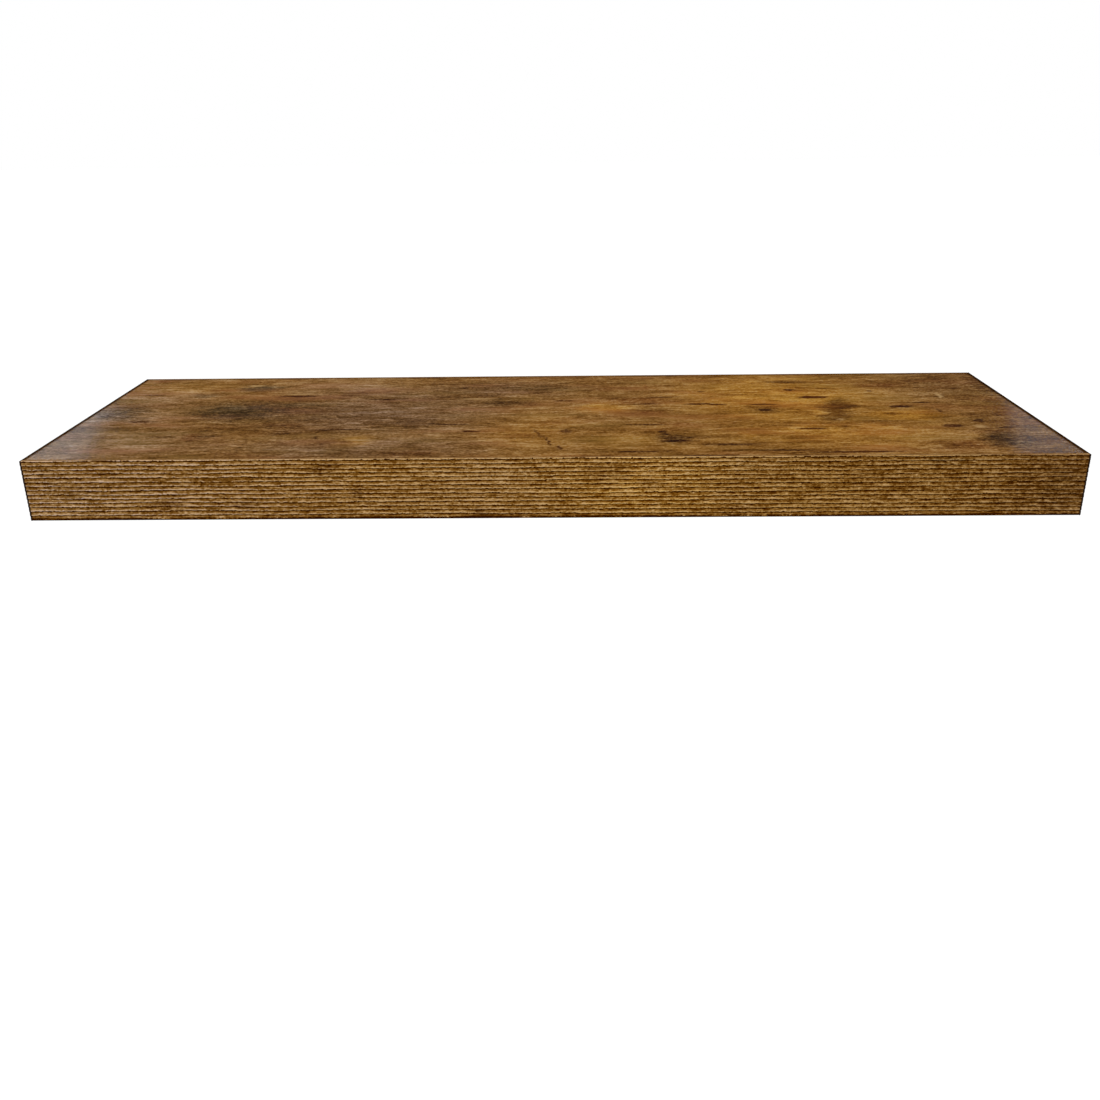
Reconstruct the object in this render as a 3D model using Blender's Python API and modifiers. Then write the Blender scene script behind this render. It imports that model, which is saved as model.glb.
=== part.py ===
"""Floating wall shelf: a hollow-core board that slides onto a hidden steel bracket.

Metres, +Z up and +X along the shelf. The wall is the plane y = 0 and the room is at -Y. The origin is
the middle of the bracket's back face, at half the board's thickness.
"""

import math

import bmesh
import bpy
from mathutils import Vector

# The board's outside
SHELF_LENGTH = 0.600
SHELF_DEPTH = 0.200
SHELF_THICKNESS = 0.036
SKIN_THICKNESS = 0.003
FRONT_BAND_THICKNESS = 0.002
END_BAND_THICKNESS = 0.0008
ARRIS = 0.0004
GLUE_LINE = 0.0002
WALL_GAP = 0.0005

# The sawn grooves along the front and end bands
GROOVE_PITCH = 0.0025
GROOVE_WIDTH = 0.0016
FRONT_GROOVE_DEPTH = 0.0005
END_GROOVE_DEPTH = 0.0003
GROOVE_MARGIN = 0.0005

# The frame and core between the two skins
END_RAIL_WIDTH = 0.020
FRONT_RAIL_DEPTH = 0.020
REAR_RAIL_DEPTH = 0.030
ROD_BLOCK_WIDTH = 0.044
CELL_SIZE = 0.026
PAPER_WALL = 0.0008

# The bracket: a flat bar against the wall and two round rods
PLATE_THICKNESS = 0.003
PLATE_CLEARANCE = 0.0025
PLATE_CORNER = 0.004
PLATE_OVERHANG = 0.050
ROD_DIAMETER = 0.012
ROD_INSET = 0.100
ROD_END_ROOM = 0.042
ROD_CHAMFER = 0.0015
ROD_CLEARANCE = 0.0003
WELD_LEG = 0.0022

# The wall screws and their plugs
SCREW_DIAMETER = 0.0045
SCREW_CORE = 0.0032
SCREW_THREAD_PITCH = 0.004
SCREW_LENGTH = 0.040
SCREW_TIP = 0.005
SCREW_HEAD_DIAMETER = 0.0095
SCREW_HEAD_HEIGHT = 0.003
SCREW_END_INSET = 0.018
SCREW_BAY = 0.110
HEAD_CLEARANCE = 0.003
SLOT_CLEARANCE = 0.0005
SLOT_TRAVEL = 0.005
DRIVE_WIDTH = 0.0011
DRIVE_DEPTH = 0.0017
PLUG_DIAMETER = 0.008
PLUG_LENGTH = 0.036
PLUG_COLLAR = 0.0007
PLUG_COLLAR_THICKNESS = 0.001
PLUG_RIB = 0.0006
PLUG_RIB_COUNT = 5
PLUG_SLIT = 0.0008

# The set screws that lock the board to its rods, and their inserts
SET_SCREW_DIAMETER = 0.006
SET_SCREW_RECESS = 0.0016
SET_SCREW_CHAMFER = 0.0007
SOCKET_ACROSS_FLATS = 0.003
SOCKET_DEPTH = 0.004
INSERT_WALL = 0.0014
INSERT_FLANGE = 0.0012
INSERT_FLANGE_THICKNESS = 0.0012
INSERT_WEB = 0.0012
SKIN_HOLE_CLEARANCE = 0.0008

# Gaps between a piece and what it rests on or turns in
SEAT_GAP = 0.0003
CUT_EXTRA = 0.002

# Facets of the round shapes
ROD_FACETS = 32
SCREW_FACETS = 12
PLUG_FACETS = 16
HOLE_FACETS = 24
ARC_STEPS = 6

# Heights, measured from half the board's thickness
HALF_THICKNESS = SHELF_THICKNESS / 2
CORE_TOP = HALF_THICKNESS - SKIN_THICKNESS - GLUE_LINE
PLATE_HEIGHT = SHELF_THICKNESS - 2 * SKIN_THICKNESS - 2 * PLATE_CLEARANCE

# Places along the board
HALF_LENGTH = SHELF_LENGTH / 2
SKIN_END = HALF_LENGTH - END_BAND_THICKNESS - GLUE_LINE
POCKET_END = SKIN_END - END_RAIL_WIDTH - GLUE_LINE
ROD_X = HALF_LENGTH - ROD_INSET
PLATE_END = ROD_X + PLATE_OVERHANG
OUTER_SCREW_X = PLATE_END - SCREW_END_INSET
INNER_SCREW_X = ROD_X - SCREW_BAY

# Places out from the wall, all negative
BOARD_BACK = -WALL_GAP
BOARD_FRONT = -SHELF_DEPTH
SKIN_FRONT = BOARD_FRONT + FRONT_BAND_THICKNESS + GLUE_LINE
FRONT_RAIL_BACK = SKIN_FRONT + FRONT_RAIL_DEPTH
PLATE_FRONT = -PLATE_THICKNESS
REAR_RAIL_BACK = PLATE_FRONT - SCREW_HEAD_HEIGHT - HEAD_CLEARANCE
REAR_RAIL_FRONT = REAR_RAIL_BACK - REAR_RAIL_DEPTH
ROD_TIP = FRONT_RAIL_BACK + ROD_END_ROOM
SET_SCREW_Y = (REAR_RAIL_BACK + REAR_RAIL_FRONT) / 2

# The bores that the rods slide in, and the heights of the set screws below them
ROD_RADIUS = ROD_DIAMETER / 2
BORE_RADIUS = ROD_RADIUS + ROD_CLEARANCE
SET_SCREW_TOP = -ROD_RADIUS - SEAT_GAP
SET_SCREW_BOTTOM = -HALF_THICKNESS + SET_SCREW_RECESS
INSERT_TOP = -BORE_RADIUS - INSERT_WEB
INSERT_BORE = SET_SCREW_DIAMETER / 2 + SEAT_GAP
INSERT_RADIUS = INSERT_BORE + INSERT_WALL

SIDES = {"left": -1, "right": 1}
SCREW_PLACES = {
    "outer_left": -OUTER_SCREW_X,
    "inner_left": -INNER_SCREW_X,
    "inner_right": INNER_SCREW_X,
    "outer_right": OUTER_SCREW_X,
}

# Rotations that lay a piece's own Z axis along -Y, or along +X with its Y axis up
TOWARDS_ROOM = (math.pi / 2, 0, 0)
ALONG_SHELF = (math.pi / 2, 0, math.pi / 2)


def clear_scene():
    """Removes every object that the file already holds."""
    for obj in list(bpy.data.objects):
        bpy.data.objects.remove(obj, do_unlink=True)


def new_collection(name):
    """A collection of that name in the scene."""
    made = bpy.data.collections.new(name)
    bpy.context.scene.collection.children.link(made)
    return made


def new_empty(name, collection):
    """An empty at the origin, which the pieces of one body hang from."""
    empty = bpy.data.objects.new(name, None)
    collection.objects.link(empty)
    return empty


def finish(name, colour, roughness, metallic=0.0):
    """A plain Principled material."""
    made = bpy.data.materials.new(name)
    made.use_nodes = True
    shader = made.node_tree.nodes["Principled BSDF"]
    shader.inputs["Base Color"].default_value = (*colour, 1.0)
    shader.inputs["Roughness"].default_value = roughness
    shader.inputs["Metallic"].default_value = metallic
    made.diffuse_color = (*colour, 1.0)
    return made


def place(obj, collection, parent=None, material=None):
    """Puts an object in one collection, under its parent, with its material."""
    for old in obj.users_collection:
        old.objects.unlink(obj)
    collection.objects.link(obj)
    obj.parent = parent
    if material:
        obj.data.materials.clear()
        obj.data.materials.append(material)
    return obj


def box(name, low, high):
    """A square-edged board between two corners."""
    low, high = Vector(low), Vector(high)
    bpy.ops.mesh.primitive_cube_add(size=1, location=(low + high) / 2)
    obj = bpy.context.object
    obj.name = name
    obj.scale = high - low
    bpy.ops.object.transform_apply(location=False, rotation=False, scale=True)
    return obj


def cylinder(name, radius, length, location, rotation=(0, 0, 0), facets=HOLE_FACETS):
    """A round bar with its middle at location, along its own Z axis."""
    bpy.ops.mesh.primitive_cylinder_add(
        vertices=facets, radius=radius, depth=length, location=location, rotation=rotation
    )
    obj = bpy.context.object
    obj.name = name
    return obj


def turned(name, profile, location, rotation, facets, ring=False):
    """A turned piece, whose (radius, height) profile runs down its outer side and closes up for a ring."""
    mesh = bpy.data.meshes.new(name)
    points = [(radius, 0, height) for radius, height in profile]
    edges = [(i, i + 1) for i in range(len(points) - 1)]
    if ring:
        edges.append((len(points) - 1, 0))
    mesh.from_pydata(points, edges, [])
    obj = bpy.data.objects.new(name, mesh)
    obj.location = location
    obj.rotation_euler = rotation
    lathe = obj.modifiers.new("lathe", "SCREW")
    lathe.steps = facets
    lathe.render_steps = facets
    lathe.use_merge_vertices = True
    lathe.merge_threshold = 0.00001
    return obj


def flat_shape(name, outlines, thickness, location, rotation):
    """A flat shape of even thickness. The first outline is its edge and the others are holes."""
    curve = bpy.data.curves.new(name, "CURVE")
    curve.dimensions = "2D"
    curve.fill_mode = "BOTH"
    curve.extrude = thickness / 2
    for outline in outlines:
        spline = curve.splines.new("POLY")
        spline.points.add(len(outline) - 1)
        for point, (x, y) in zip(spline.points, outline):
            point.co = (x, y, 0, 1)
        spline.use_cyclic_u = True
    obj = bpy.data.objects.new(name, curve)
    obj.location = location
    obj.rotation_euler = rotation
    return obj


def arc(centre, radius, start, end, steps=ARC_STEPS):
    """Points along an arc, with its angles in degrees."""
    angles = [math.radians(start + (end - start) * i / steps) for i in range(steps + 1)]
    return [(centre[0] + radius * math.cos(a), centre[1] + radius * math.sin(a)) for a in angles]


def rounded_rectangle(width, height, radius):
    """The outline of a rectangle about the origin with its corners rounded."""
    x, y = width / 2 - radius, height / 2 - radius
    return (
        arc((x, y), radius, 0, 90)
        + arc((-x, y), radius, 90, 180)
        + arc((-x, -y), radius, 180, 270)
        + arc((x, -y), radius, 270, 360)
    )


def slot(centre_x, width, travel):
    """The outline of a level slot whose round ends are travel apart."""
    end = travel / 2
    return arc((centre_x + end, 0), width / 2, -90, 90) + arc((centre_x - end, 0), width / 2, 90, 270)


def cut(target, cutter, cutters):
    """Takes one solid out of another, and keeps the cutter out of renders."""
    place(cutter, cutters)
    cutter.hide_render = True
    cutter.display_type = "WIRE"
    boolean = target.modifiers.new(cutter.name, "BOOLEAN")
    boolean.operation = "DIFFERENCE"
    boolean.object = cutter


def grooved_outline(face, inward, thickness, groove_depth):
    """The section of a lipping with level grooves in its face, as a sawn board has.

    Its points are (place, height). The face stands at one place, and inward is 1 or -1 away from it.
    """
    count = int((SHELF_THICKNESS - 2 * GROOVE_MARGIN) / GROOVE_PITCH)
    inner = HALF_THICKNESS - ARRIS
    section = [(thickness, -HALF_THICKNESS)]
    section += arc((ARRIS, -inner), ARRIS, 270, 180, 2)
    for i in range(count):
        middle = (i - (count - 1) / 2) * GROOVE_PITCH
        for share in (-1, -0.5, 0, 0.5, 1):
            depth = groove_depth * (1 + math.cos(math.pi * share)) / 2
            height = middle + share * GROOVE_WIDTH / 2
            if abs(height) < inner:
                section.append((depth, height))
    section += arc((ARRIS, inner), ARRIS, 180, 90, 2)
    section.append((thickness, HALF_THICKNESS))
    return [(face + inward * depth, height) for depth, height in section]


def front_band():
    """The front lipping, between the two end bands."""
    outline = grooved_outline(BOARD_FRONT, 1, FRONT_BAND_THICKNESS, FRONT_GROOVE_DEPTH)
    return flat_shape("front_edge_band", [outline], 2 * SKIN_END, (0, 0, 0), ALONG_SHELF)


def end_band(side):
    """The thin lipping that covers one end of the board, and the front band's end with it."""
    sign = SIDES[side]
    outline = grooved_outline(sign * HALF_LENGTH, -sign, END_BAND_THICKNESS, END_GROOVE_DEPTH)
    middle = (0, (BOARD_BACK + BOARD_FRONT) / 2, 0)
    length = BOARD_BACK - BOARD_FRONT
    return flat_shape(f"{side}_edge_band", [outline], length, middle, TOWARDS_ROOM)


def top_skin():
    """The sheet that things stand on."""
    return box(
        "top_skin",
        (-SKIN_END, SKIN_FRONT, HALF_THICKNESS - SKIN_THICKNESS),
        (SKIN_END, BOARD_BACK, HALF_THICKNESS),
    )


def bottom_skin(cutters):
    """The lower sheet, with a hole under each set screw."""
    skin = box(
        "bottom_skin",
        (-SKIN_END, SKIN_FRONT, -HALF_THICKNESS),
        (SKIN_END, BOARD_BACK, -HALF_THICKNESS + SKIN_THICKNESS),
    )
    for side, sign in SIDES.items():
        hole = cylinder(
            f"skin_hole_{side}",
            SET_SCREW_DIAMETER / 2 + SKIN_HOLE_CLEARANCE,
            SKIN_THICKNESS + 2 * CUT_EXTRA,
            (sign * ROD_X, SET_SCREW_Y, -HALF_THICKNESS + SKIN_THICKNESS / 2),
        )
        cut(skin, hole, cutters)
    return skin


def end_rail(side):
    """The frame strip behind an end band, which also closes the bracket's recess."""
    inside = SKIN_END - END_RAIL_WIDTH
    near, far = sorted((SIDES[side] * inside, SIDES[side] * SKIN_END))
    return box(
        f"{side}_end_rail",
        (near, SKIN_FRONT, -CORE_TOP),
        (far, BOARD_BACK, CORE_TOP),
    )


def front_rail():
    """The frame strip behind the front band, between the end rails."""
    return box(
        "front_rail",
        (-POCKET_END, SKIN_FRONT, -CORE_TOP),
        (POCKET_END, FRONT_RAIL_BACK, CORE_TOP),
    )


def rod_bore(name, x, back, front):
    """The cutter of one rod's bore between two places out from the wall."""
    length = back - front + 2 * CUT_EXTRA
    return cylinder(name, BORE_RADIUS, length, (x, (back + front) / 2, 0), TOWARDS_ROOM, ROD_FACETS)


def rear_rail(cutters):
    """The frame strip in front of the bracket, bored for the rods and for the set screws' inserts."""
    rail = box(
        "rear_rail",
        (-POCKET_END, REAR_RAIL_FRONT, -CORE_TOP),
        (POCKET_END, REAR_RAIL_BACK, CORE_TOP),
    )
    seat_top = INSERT_TOP + SEAT_GAP
    seat_bottom = -CORE_TOP - CUT_EXTRA
    flange_top = -CORE_TOP + INSERT_FLANGE_THICKNESS + SEAT_GAP
    for side, sign in SIDES.items():
        x = sign * ROD_X
        cut(rail, rod_bore(f"rail_bore_{side}", x, REAR_RAIL_BACK, REAR_RAIL_FRONT), cutters)
        for name, radius, top in (
            ("set_screw_way", INSERT_BORE, 0.0),
            ("insert_seat", INSERT_RADIUS + SEAT_GAP, seat_top),
            ("flange_seat", INSERT_RADIUS + INSERT_FLANGE + SEAT_GAP, flange_top),
        ):
            middle = (x, SET_SCREW_Y, (top + seat_bottom) / 2)
            cut(rail, cylinder(f"{name}_{side}", radius, top - seat_bottom, middle), cutters)
    return rail


def rod_block(side, cutters):
    """The bored block that holds the front part of one rod, from the rear rail to the front rail."""
    x = SIDES[side] * ROD_X
    back = REAR_RAIL_FRONT - GLUE_LINE
    front = FRONT_RAIL_BACK + GLUE_LINE
    block = box(
        f"rod_block_{side}",
        (x - ROD_BLOCK_WIDTH / 2, front, -CORE_TOP),
        (x + ROD_BLOCK_WIDTH / 2, back, CORE_TOP),
    )
    cut(block, rod_bore(f"block_bore_{side}", x, back, front), cutters)
    return block


def honeycomb(name, low_x, high_x, cutters):
    """Expanded paper core that fills one pocket of the frame, its outermost cells cut open."""
    back = REAR_RAIL_FRONT - GLUE_LINE
    front = FRONT_RAIL_BACK + GLUE_LINE
    core = box(name, (low_x, front, -CORE_TOP), (high_x, back, CORE_TOP))
    # The core is stretched until a whole number of rows, and of cells and a half, fills the pocket.
    columns = max(1, round((high_x - low_x) / CELL_SIZE - 0.5))
    rows = max(2, round((back - front) / (CELL_SIZE * math.sqrt(3) / 2)))
    pitch_x = (high_x - low_x) / (columns + 0.5)
    pitch_y = (back - front) / rows
    radius = pitch_y * 2 / 3 - PAPER_WALL / math.sqrt(3)
    stretch = (pitch_x - PAPER_WALL) / (radius * math.sqrt(3))
    cells = bmesh.new()
    for row in range(rows + 1):
        shift = 0.25 + 0.5 * (row % 2)
        for column in range(-1, columns + 1):
            made = bmesh.ops.create_cone(
                cells,
                cap_ends=True,
                segments=6,
                radius1=radius,
                radius2=radius,
                depth=2 * (CORE_TOP + CUT_EXTRA),
            )
            bmesh.ops.scale(cells, vec=(stretch, 1, 1), verts=made["verts"])
            middle = (low_x + (column + shift) * pitch_x, front + row * pitch_y, 0)
            bmesh.ops.translate(cells, vec=middle, verts=made["verts"])
    mesh = bpy.data.meshes.new(f"cells_{name}")
    cells.to_mesh(mesh)
    cells.free()
    cut(core, bpy.data.objects.new(mesh.name, mesh), cutters)
    return core


def honeycomb_pockets(cutters):
    """The three pieces of paper core, between the end rails and the two rod blocks."""
    block_side = ROD_BLOCK_WIDTH / 2 + GLUE_LINE
    outer = (ROD_X + block_side, POCKET_END)
    inner = ROD_X - block_side
    return [
        honeycomb("honeycomb_left", -outer[1], -outer[0], cutters),
        honeycomb("honeycomb_centre", -inner, inner, cutters),
        honeycomb("honeycomb_right", outer[0], outer[1], cutters),
    ]


def insert(side):
    """The threaded insert pressed into the rear rail under one rod."""
    bottom = -CORE_TOP
    flange_radius = INSERT_RADIUS + INSERT_FLANGE
    flange_top = bottom + INSERT_FLANGE_THICKNESS
    profile = [
        (INSERT_RADIUS, INSERT_TOP),
        (INSERT_RADIUS, flange_top),
        (flange_radius, flange_top),
        (flange_radius, bottom),
        (INSERT_BORE, bottom),
        (INSERT_BORE, INSERT_TOP),
    ]
    place_at = (SIDES[side] * ROD_X, SET_SCREW_Y, 0)
    return turned(f"insert_nut_{side}", profile, place_at, (0, 0, 0), HOLE_FACETS, ring=True)


def set_screw(side, cutters):
    """The socket set screw whose tip bears on one rod. Its origin is at its tip, on its axis."""
    radius = SET_SCREW_DIAMETER / 2
    length = SET_SCREW_TOP - SET_SCREW_BOTTOM
    profile = [
        (0, 0),
        (radius - SET_SCREW_CHAMFER, 0),
        (radius, -SET_SCREW_CHAMFER),
        (radius, -length + SET_SCREW_CHAMFER),
        (radius - SET_SCREW_CHAMFER, -length),
        (0, -length),
    ]
    tip = Vector((SIDES[side] * ROD_X, SET_SCREW_Y, SET_SCREW_TOP))
    screw = turned(f"set_screw_{side}", profile, tip, (0, 0, 0), HOLE_FACETS)
    socket = cylinder(
        f"socket_{side}",
        SOCKET_ACROSS_FLATS / math.sqrt(3),
        SOCKET_DEPTH + CUT_EXTRA,
        tip + Vector((0, 0, -length + (SOCKET_DEPTH - CUT_EXTRA) / 2)),
        facets=6,
    )
    cut(screw, socket, cutters)
    return screw


def wall_plate():
    """The flat bar against the wall, with one level slot for each wall screw."""
    outlines = [rounded_rectangle(2 * PLATE_END, PLATE_HEIGHT, PLATE_CORNER)]
    width = SCREW_DIAMETER + 2 * SLOT_CLEARANCE
    outlines += [slot(x, width, SLOT_TRAVEL) for x in SCREW_PLACES.values()]
    middle = (0, -PLATE_THICKNESS / 2, 0)
    return flat_shape("wall_plate", outlines, PLATE_THICKNESS, middle, TOWARDS_ROOM)


def rod(side):
    """One round rod with its weld fillet, standing on the front of the wall plate."""
    reach = PLATE_FRONT - ROD_TIP
    profile = [
        (0, reach),
        (ROD_RADIUS - ROD_CHAMFER, reach),
        (ROD_RADIUS, reach - ROD_CHAMFER),
        (ROD_RADIUS, WELD_LEG),
        (ROD_RADIUS + WELD_LEG * 0.4, WELD_LEG * 0.4),
        (ROD_RADIUS + WELD_LEG, SEAT_GAP),
        (0, SEAT_GAP),
    ]
    place_at = (SIDES[side] * ROD_X, PLATE_FRONT, 0)
    return turned(f"support_rod_{side}", profile, place_at, TOWARDS_ROOM, ROD_FACETS)


def thread(core, crest, top, bottom, pitch):
    """Profile points of a wood screw's thread, from top down to bottom."""
    points = []
    turns = int((top - bottom) / pitch)
    for i in range(turns):
        start = top - i * pitch
        points += [
            (core, start - pitch * 0.2),
            (crest, start - pitch * 0.45),
            (core, start - pitch * 0.7),
        ]
    return points


def wall_screw(place_name, cutters):
    """A pan-head wood screw through the plate, with its head on the side of the room."""
    head = SCREW_HEAD_DIAMETER / 2
    core = SCREW_CORE / 2
    seat = SEAT_GAP
    shank_end = -PLATE_THICKNESS - PLUG_COLLAR_THICKNESS
    thread_end = -SCREW_LENGTH + SCREW_TIP
    profile = [
        (0, seat + SCREW_HEAD_HEIGHT),
        (head * 0.55, seat + SCREW_HEAD_HEIGHT * 0.94),
        (head * 0.88, seat + SCREW_HEAD_HEIGHT * 0.62),
        (head, seat + SCREW_HEAD_HEIGHT * 0.2),
        (head, seat),
        (core, seat),
    ]
    profile += thread(core, SCREW_DIAMETER / 2, shank_end, thread_end, SCREW_THREAD_PITCH)
    profile += [(core, thread_end), (0, -SCREW_LENGTH)]
    x = SCREW_PLACES[place_name]
    screw = turned(
        f"wall_screw_{place_name}", profile, (x, PLATE_FRONT, 0), TOWARDS_ROOM, SCREW_FACETS
    )
    head_top = PLATE_FRONT - seat - SCREW_HEAD_HEIGHT
    arm = head * 0.6
    for way, (half_x, half_z) in {
        "level": (arm, DRIVE_WIDTH / 2),
        "upright": (DRIVE_WIDTH / 2, arm),
    }.items():
        blade = box(
            f"drive_{way}_{place_name}",
            (x - half_x, head_top - CUT_EXTRA, -half_z),
            (x + half_x, head_top + DRIVE_DEPTH, half_z),
        )
        cut(screw, blade, cutters)
    return screw


def wall_plug(place_name, cutters):
    """The nylon plug in the wall around one screw, with ribs and a slit so that it can spread."""
    outer = PLUG_DIAMETER / 2
    bore = SCREW_DIAMETER / 2 + SEAT_GAP
    collar_end = -PLUG_COLLAR_THICKNESS
    rib_zone = PLUG_LENGTH * 0.55
    rib_pitch = rib_zone / PLUG_RIB_COUNT
    first_rib = -PLUG_LENGTH + rib_zone
    profile = [
        (outer + PLUG_COLLAR, 0),
        (outer + PLUG_COLLAR, collar_end),
        (outer, collar_end),
    ]
    for i in range(PLUG_RIB_COUNT):
        top = first_rib - i * rib_pitch
        profile += [(outer, top), (outer - PLUG_RIB, top - rib_pitch * 0.9)]
    profile += [(bore, -PLUG_LENGTH), (bore, 0)]
    x = SCREW_PLACES[place_name]
    plug = turned(
        f"wall_plug_{place_name}",
        profile,
        (x, SEAT_GAP, 0),
        TOWARDS_ROOM,
        PLUG_FACETS,
        ring=True,
    )
    slit = box(
        f"slit_{place_name}",
        (x - outer - CUT_EXTRA, SEAT_GAP + PLUG_LENGTH - rib_zone * 0.95, -PLUG_SLIT / 2),
        (x + outer + CUT_EXTRA, SEAT_GAP + PLUG_LENGTH - rib_pitch * 0.4, PLUG_SLIT / 2),
    )
    cut(plug, slit, cutters)
    return plug


def shade_rounds(obj):
    """Smooths the shallow facets of a round mesh."""
    if obj.type == "MESH":
        obj.data.shade_smooth()
        obj.data.set_sharp_from_angle(angle=math.radians(35))


def main():
    """Builds the board and the bracket, and hangs each piece on its body's empty."""
    clear_scene()
    shelf = new_collection("wall_shelf")
    cutters = new_collection("cutters")
    board_body = new_empty("board_body", shelf)
    bracket_body = new_empty("bracket_body", shelf)

    decor = finish("rustic_wood_decor", (0.21, 0.10, 0.034), 0.42)
    grooved = finish("grooved_wood_decor", (0.20, 0.098, 0.026), 0.60)
    chipboard = finish("chipboard", (0.40, 0.27, 0.15), 0.85)
    paper = finish("kraft_paper", (0.42, 0.29, 0.17), 0.90)
    black_steel = finish("black_steel", (0.03, 0.03, 0.032), 0.45, 0.6)
    zinc = finish("zinc_steel", (0.62, 0.60, 0.55), 0.32, 1.0)
    brass = finish("brass", (0.70, 0.50, 0.20), 0.35, 1.0)
    nylon = finish("grey_nylon", (0.33, 0.34, 0.35), 0.60)

    board = {
        decor: [top_skin(), bottom_skin(cutters)],
        grooved: [front_band(), *(end_band(side) for side in SIDES)],
        chipboard: [
            front_rail(),
            rear_rail(cutters),
            *(end_rail(side) for side in SIDES),
            *(rod_block(side, cutters) for side in SIDES),
        ],
        paper: honeycomb_pockets(cutters),
        brass: [insert(side) for side in SIDES],
        black_steel: [set_screw(side, cutters) for side in SIDES],
    }
    bracket = {
        black_steel: [wall_plate(), *(rod(side) for side in SIDES)],
        zinc: [wall_screw(name, cutters) for name in SCREW_PLACES],
        nylon: [wall_plug(name, cutters) for name in SCREW_PLACES],
    }
    for body, groups in ((board_body, board), (bracket_body, bracket)):
        for material, pieces in groups.items():
            for piece in pieces:
                place(piece, shelf, body, material)
                shade_rounds(piece)


main()
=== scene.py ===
"""Wall shelf: a hollow board with a printed wood top and a grooved front, on a hidden bracket."""

import logging
import math
from collections.abc import Callable, Iterator, Sequence
from contextlib import contextmanager
from dataclasses import dataclass, field
from enum import Enum
from itertools import pairwise

import bpy
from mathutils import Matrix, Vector, noise


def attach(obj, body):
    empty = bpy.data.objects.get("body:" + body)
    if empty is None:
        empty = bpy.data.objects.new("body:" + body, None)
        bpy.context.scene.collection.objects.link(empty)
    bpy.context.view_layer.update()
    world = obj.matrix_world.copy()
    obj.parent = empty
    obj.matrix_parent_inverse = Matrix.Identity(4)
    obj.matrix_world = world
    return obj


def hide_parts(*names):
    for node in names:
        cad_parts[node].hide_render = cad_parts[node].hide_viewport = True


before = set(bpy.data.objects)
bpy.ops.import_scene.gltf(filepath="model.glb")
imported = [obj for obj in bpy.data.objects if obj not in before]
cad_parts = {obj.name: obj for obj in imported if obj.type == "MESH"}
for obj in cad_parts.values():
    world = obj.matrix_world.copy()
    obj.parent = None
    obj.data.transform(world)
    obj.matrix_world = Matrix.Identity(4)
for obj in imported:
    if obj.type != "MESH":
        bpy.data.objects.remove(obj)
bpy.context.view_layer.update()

log = logging.getLogger("wall_shelf")
MM = 0.001
HAIR = 1e-6  # metres; closer than this counts as the same place

Place = tuple[float, float, float]
Colour = tuple[float, float, float]
Stops = Sequence[tuple[float, tuple[float, ...]]]
Test = Callable[[Vector, Vector], bool]


# ---------------------------------------------------------------- modelling


class Element(Enum):
    """What an editing step takes hold of."""

    POINT = "VERT"
    EDGE = "EDGE"
    FACE = "FACE"


class Heading(Enum):
    """The turn that brings a piece made upright to where it points."""

    UP = (0.0, 0.0, 0.0)
    TO_ROOM = (math.pi / 2, 0.0, 0.0)
    TO_WALL = (-math.pi / 2, 0.0, 0.0)
    TO_LEFT = (math.pi / 2, 0.0, -math.pi / 2)
    TO_RIGHT = (math.pi / 2, 0.0, math.pi / 2)


def pick(*objects: bpy.types.Object) -> None:
    """Selects some pieces and nothing else.

    Args:
        objects: the pieces, of which the last one is in hand; none clears the selection.
    """
    bpy.ops.object.select_all(action="DESELECT")
    for obj in objects:
        obj.select_set(True)
        bpy.context.view_layer.objects.active = obj


def settle(obj: bpy.types.Object) -> bpy.types.Object:
    """Puts a piece's place, turn and size into its mesh.

    Args:
        obj: the piece.

    Returns:
        The piece, with its object at the origin.
    """
    pick(obj)
    bpy.ops.object.transform_apply(location=True, rotation=True, scale=True)
    return obj


def put(obj: bpy.types.Object, heading: Heading, place: Place) -> bpy.types.Object:
    """Turns a piece to its heading, moves it to its place and settles it.

    Args:
        obj: the piece, made upright at the origin.
        heading: where its axis points.
        place: where its axis starts.

    Returns:
        The piece.
    """
    obj.rotation_euler = heading.value
    obj.location = place
    return settle(obj)


def adopt(name: str, size: Sequence[float] = (1, 1, 1)) -> bpy.types.Object:
    """Names the primitive that was just added, gives it its size and settles it.

    Args:
        name: the piece's name.
        size: how much larger it becomes along its own axes.

    Returns:
        The primitive's object.
    """
    obj = bpy.context.object
    obj.name = name
    obj.data.name = name
    obj.scale = size
    return settle(obj)


def apply_modifier(obj: bpy.types.Object, kind: str, **settings: object) -> None:
    """Adds one modifier to a piece and applies it.

    Args:
        obj: the piece.
        kind: the modifier's type.
        settings: the modifier's settings by name.
    """
    pick(obj)
    modifier = obj.modifiers.new(kind.title(), kind)
    for key, value in settings.items():
        setattr(modifier, key, value)
    bpy.ops.object.modifier_apply(modifier=modifier.name)


@contextmanager
def editing(obj: bpy.types.Object, kind: Element, test: Test | None = None) -> Iterator[None]:
    """Opens a piece for editing with some of its elements selected.

    Args:
        obj: the piece.
        kind: what is selected.
        test: takes an element's middle and its normal, or an edge's direction; all pass without it.
    """
    pick(obj)
    mesh = obj.data
    for elements in (mesh.vertices, mesh.edges, mesh.polygons):
        elements.foreach_set("select", [False] * len(elements))
    if kind is Element.FACE:
        for face in mesh.polygons:
            face.select = test is None or test(face.center, face.normal)
    elif kind is Element.EDGE:
        for edge in mesh.edges:
            a, b = (mesh.vertices[i].co for i in edge.vertices)
            edge.select = test is None or test((a + b) / 2, (b - a).normalized())
    else:
        for point in mesh.vertices:
            point.select = test is None or test(point.co, point.normal)
    bpy.context.tool_settings.mesh_select_mode = [kind is element for element in Element]
    bpy.ops.object.mode_set(mode="EDIT")
    yield
    bpy.ops.object.mode_set(mode="OBJECT")


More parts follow.
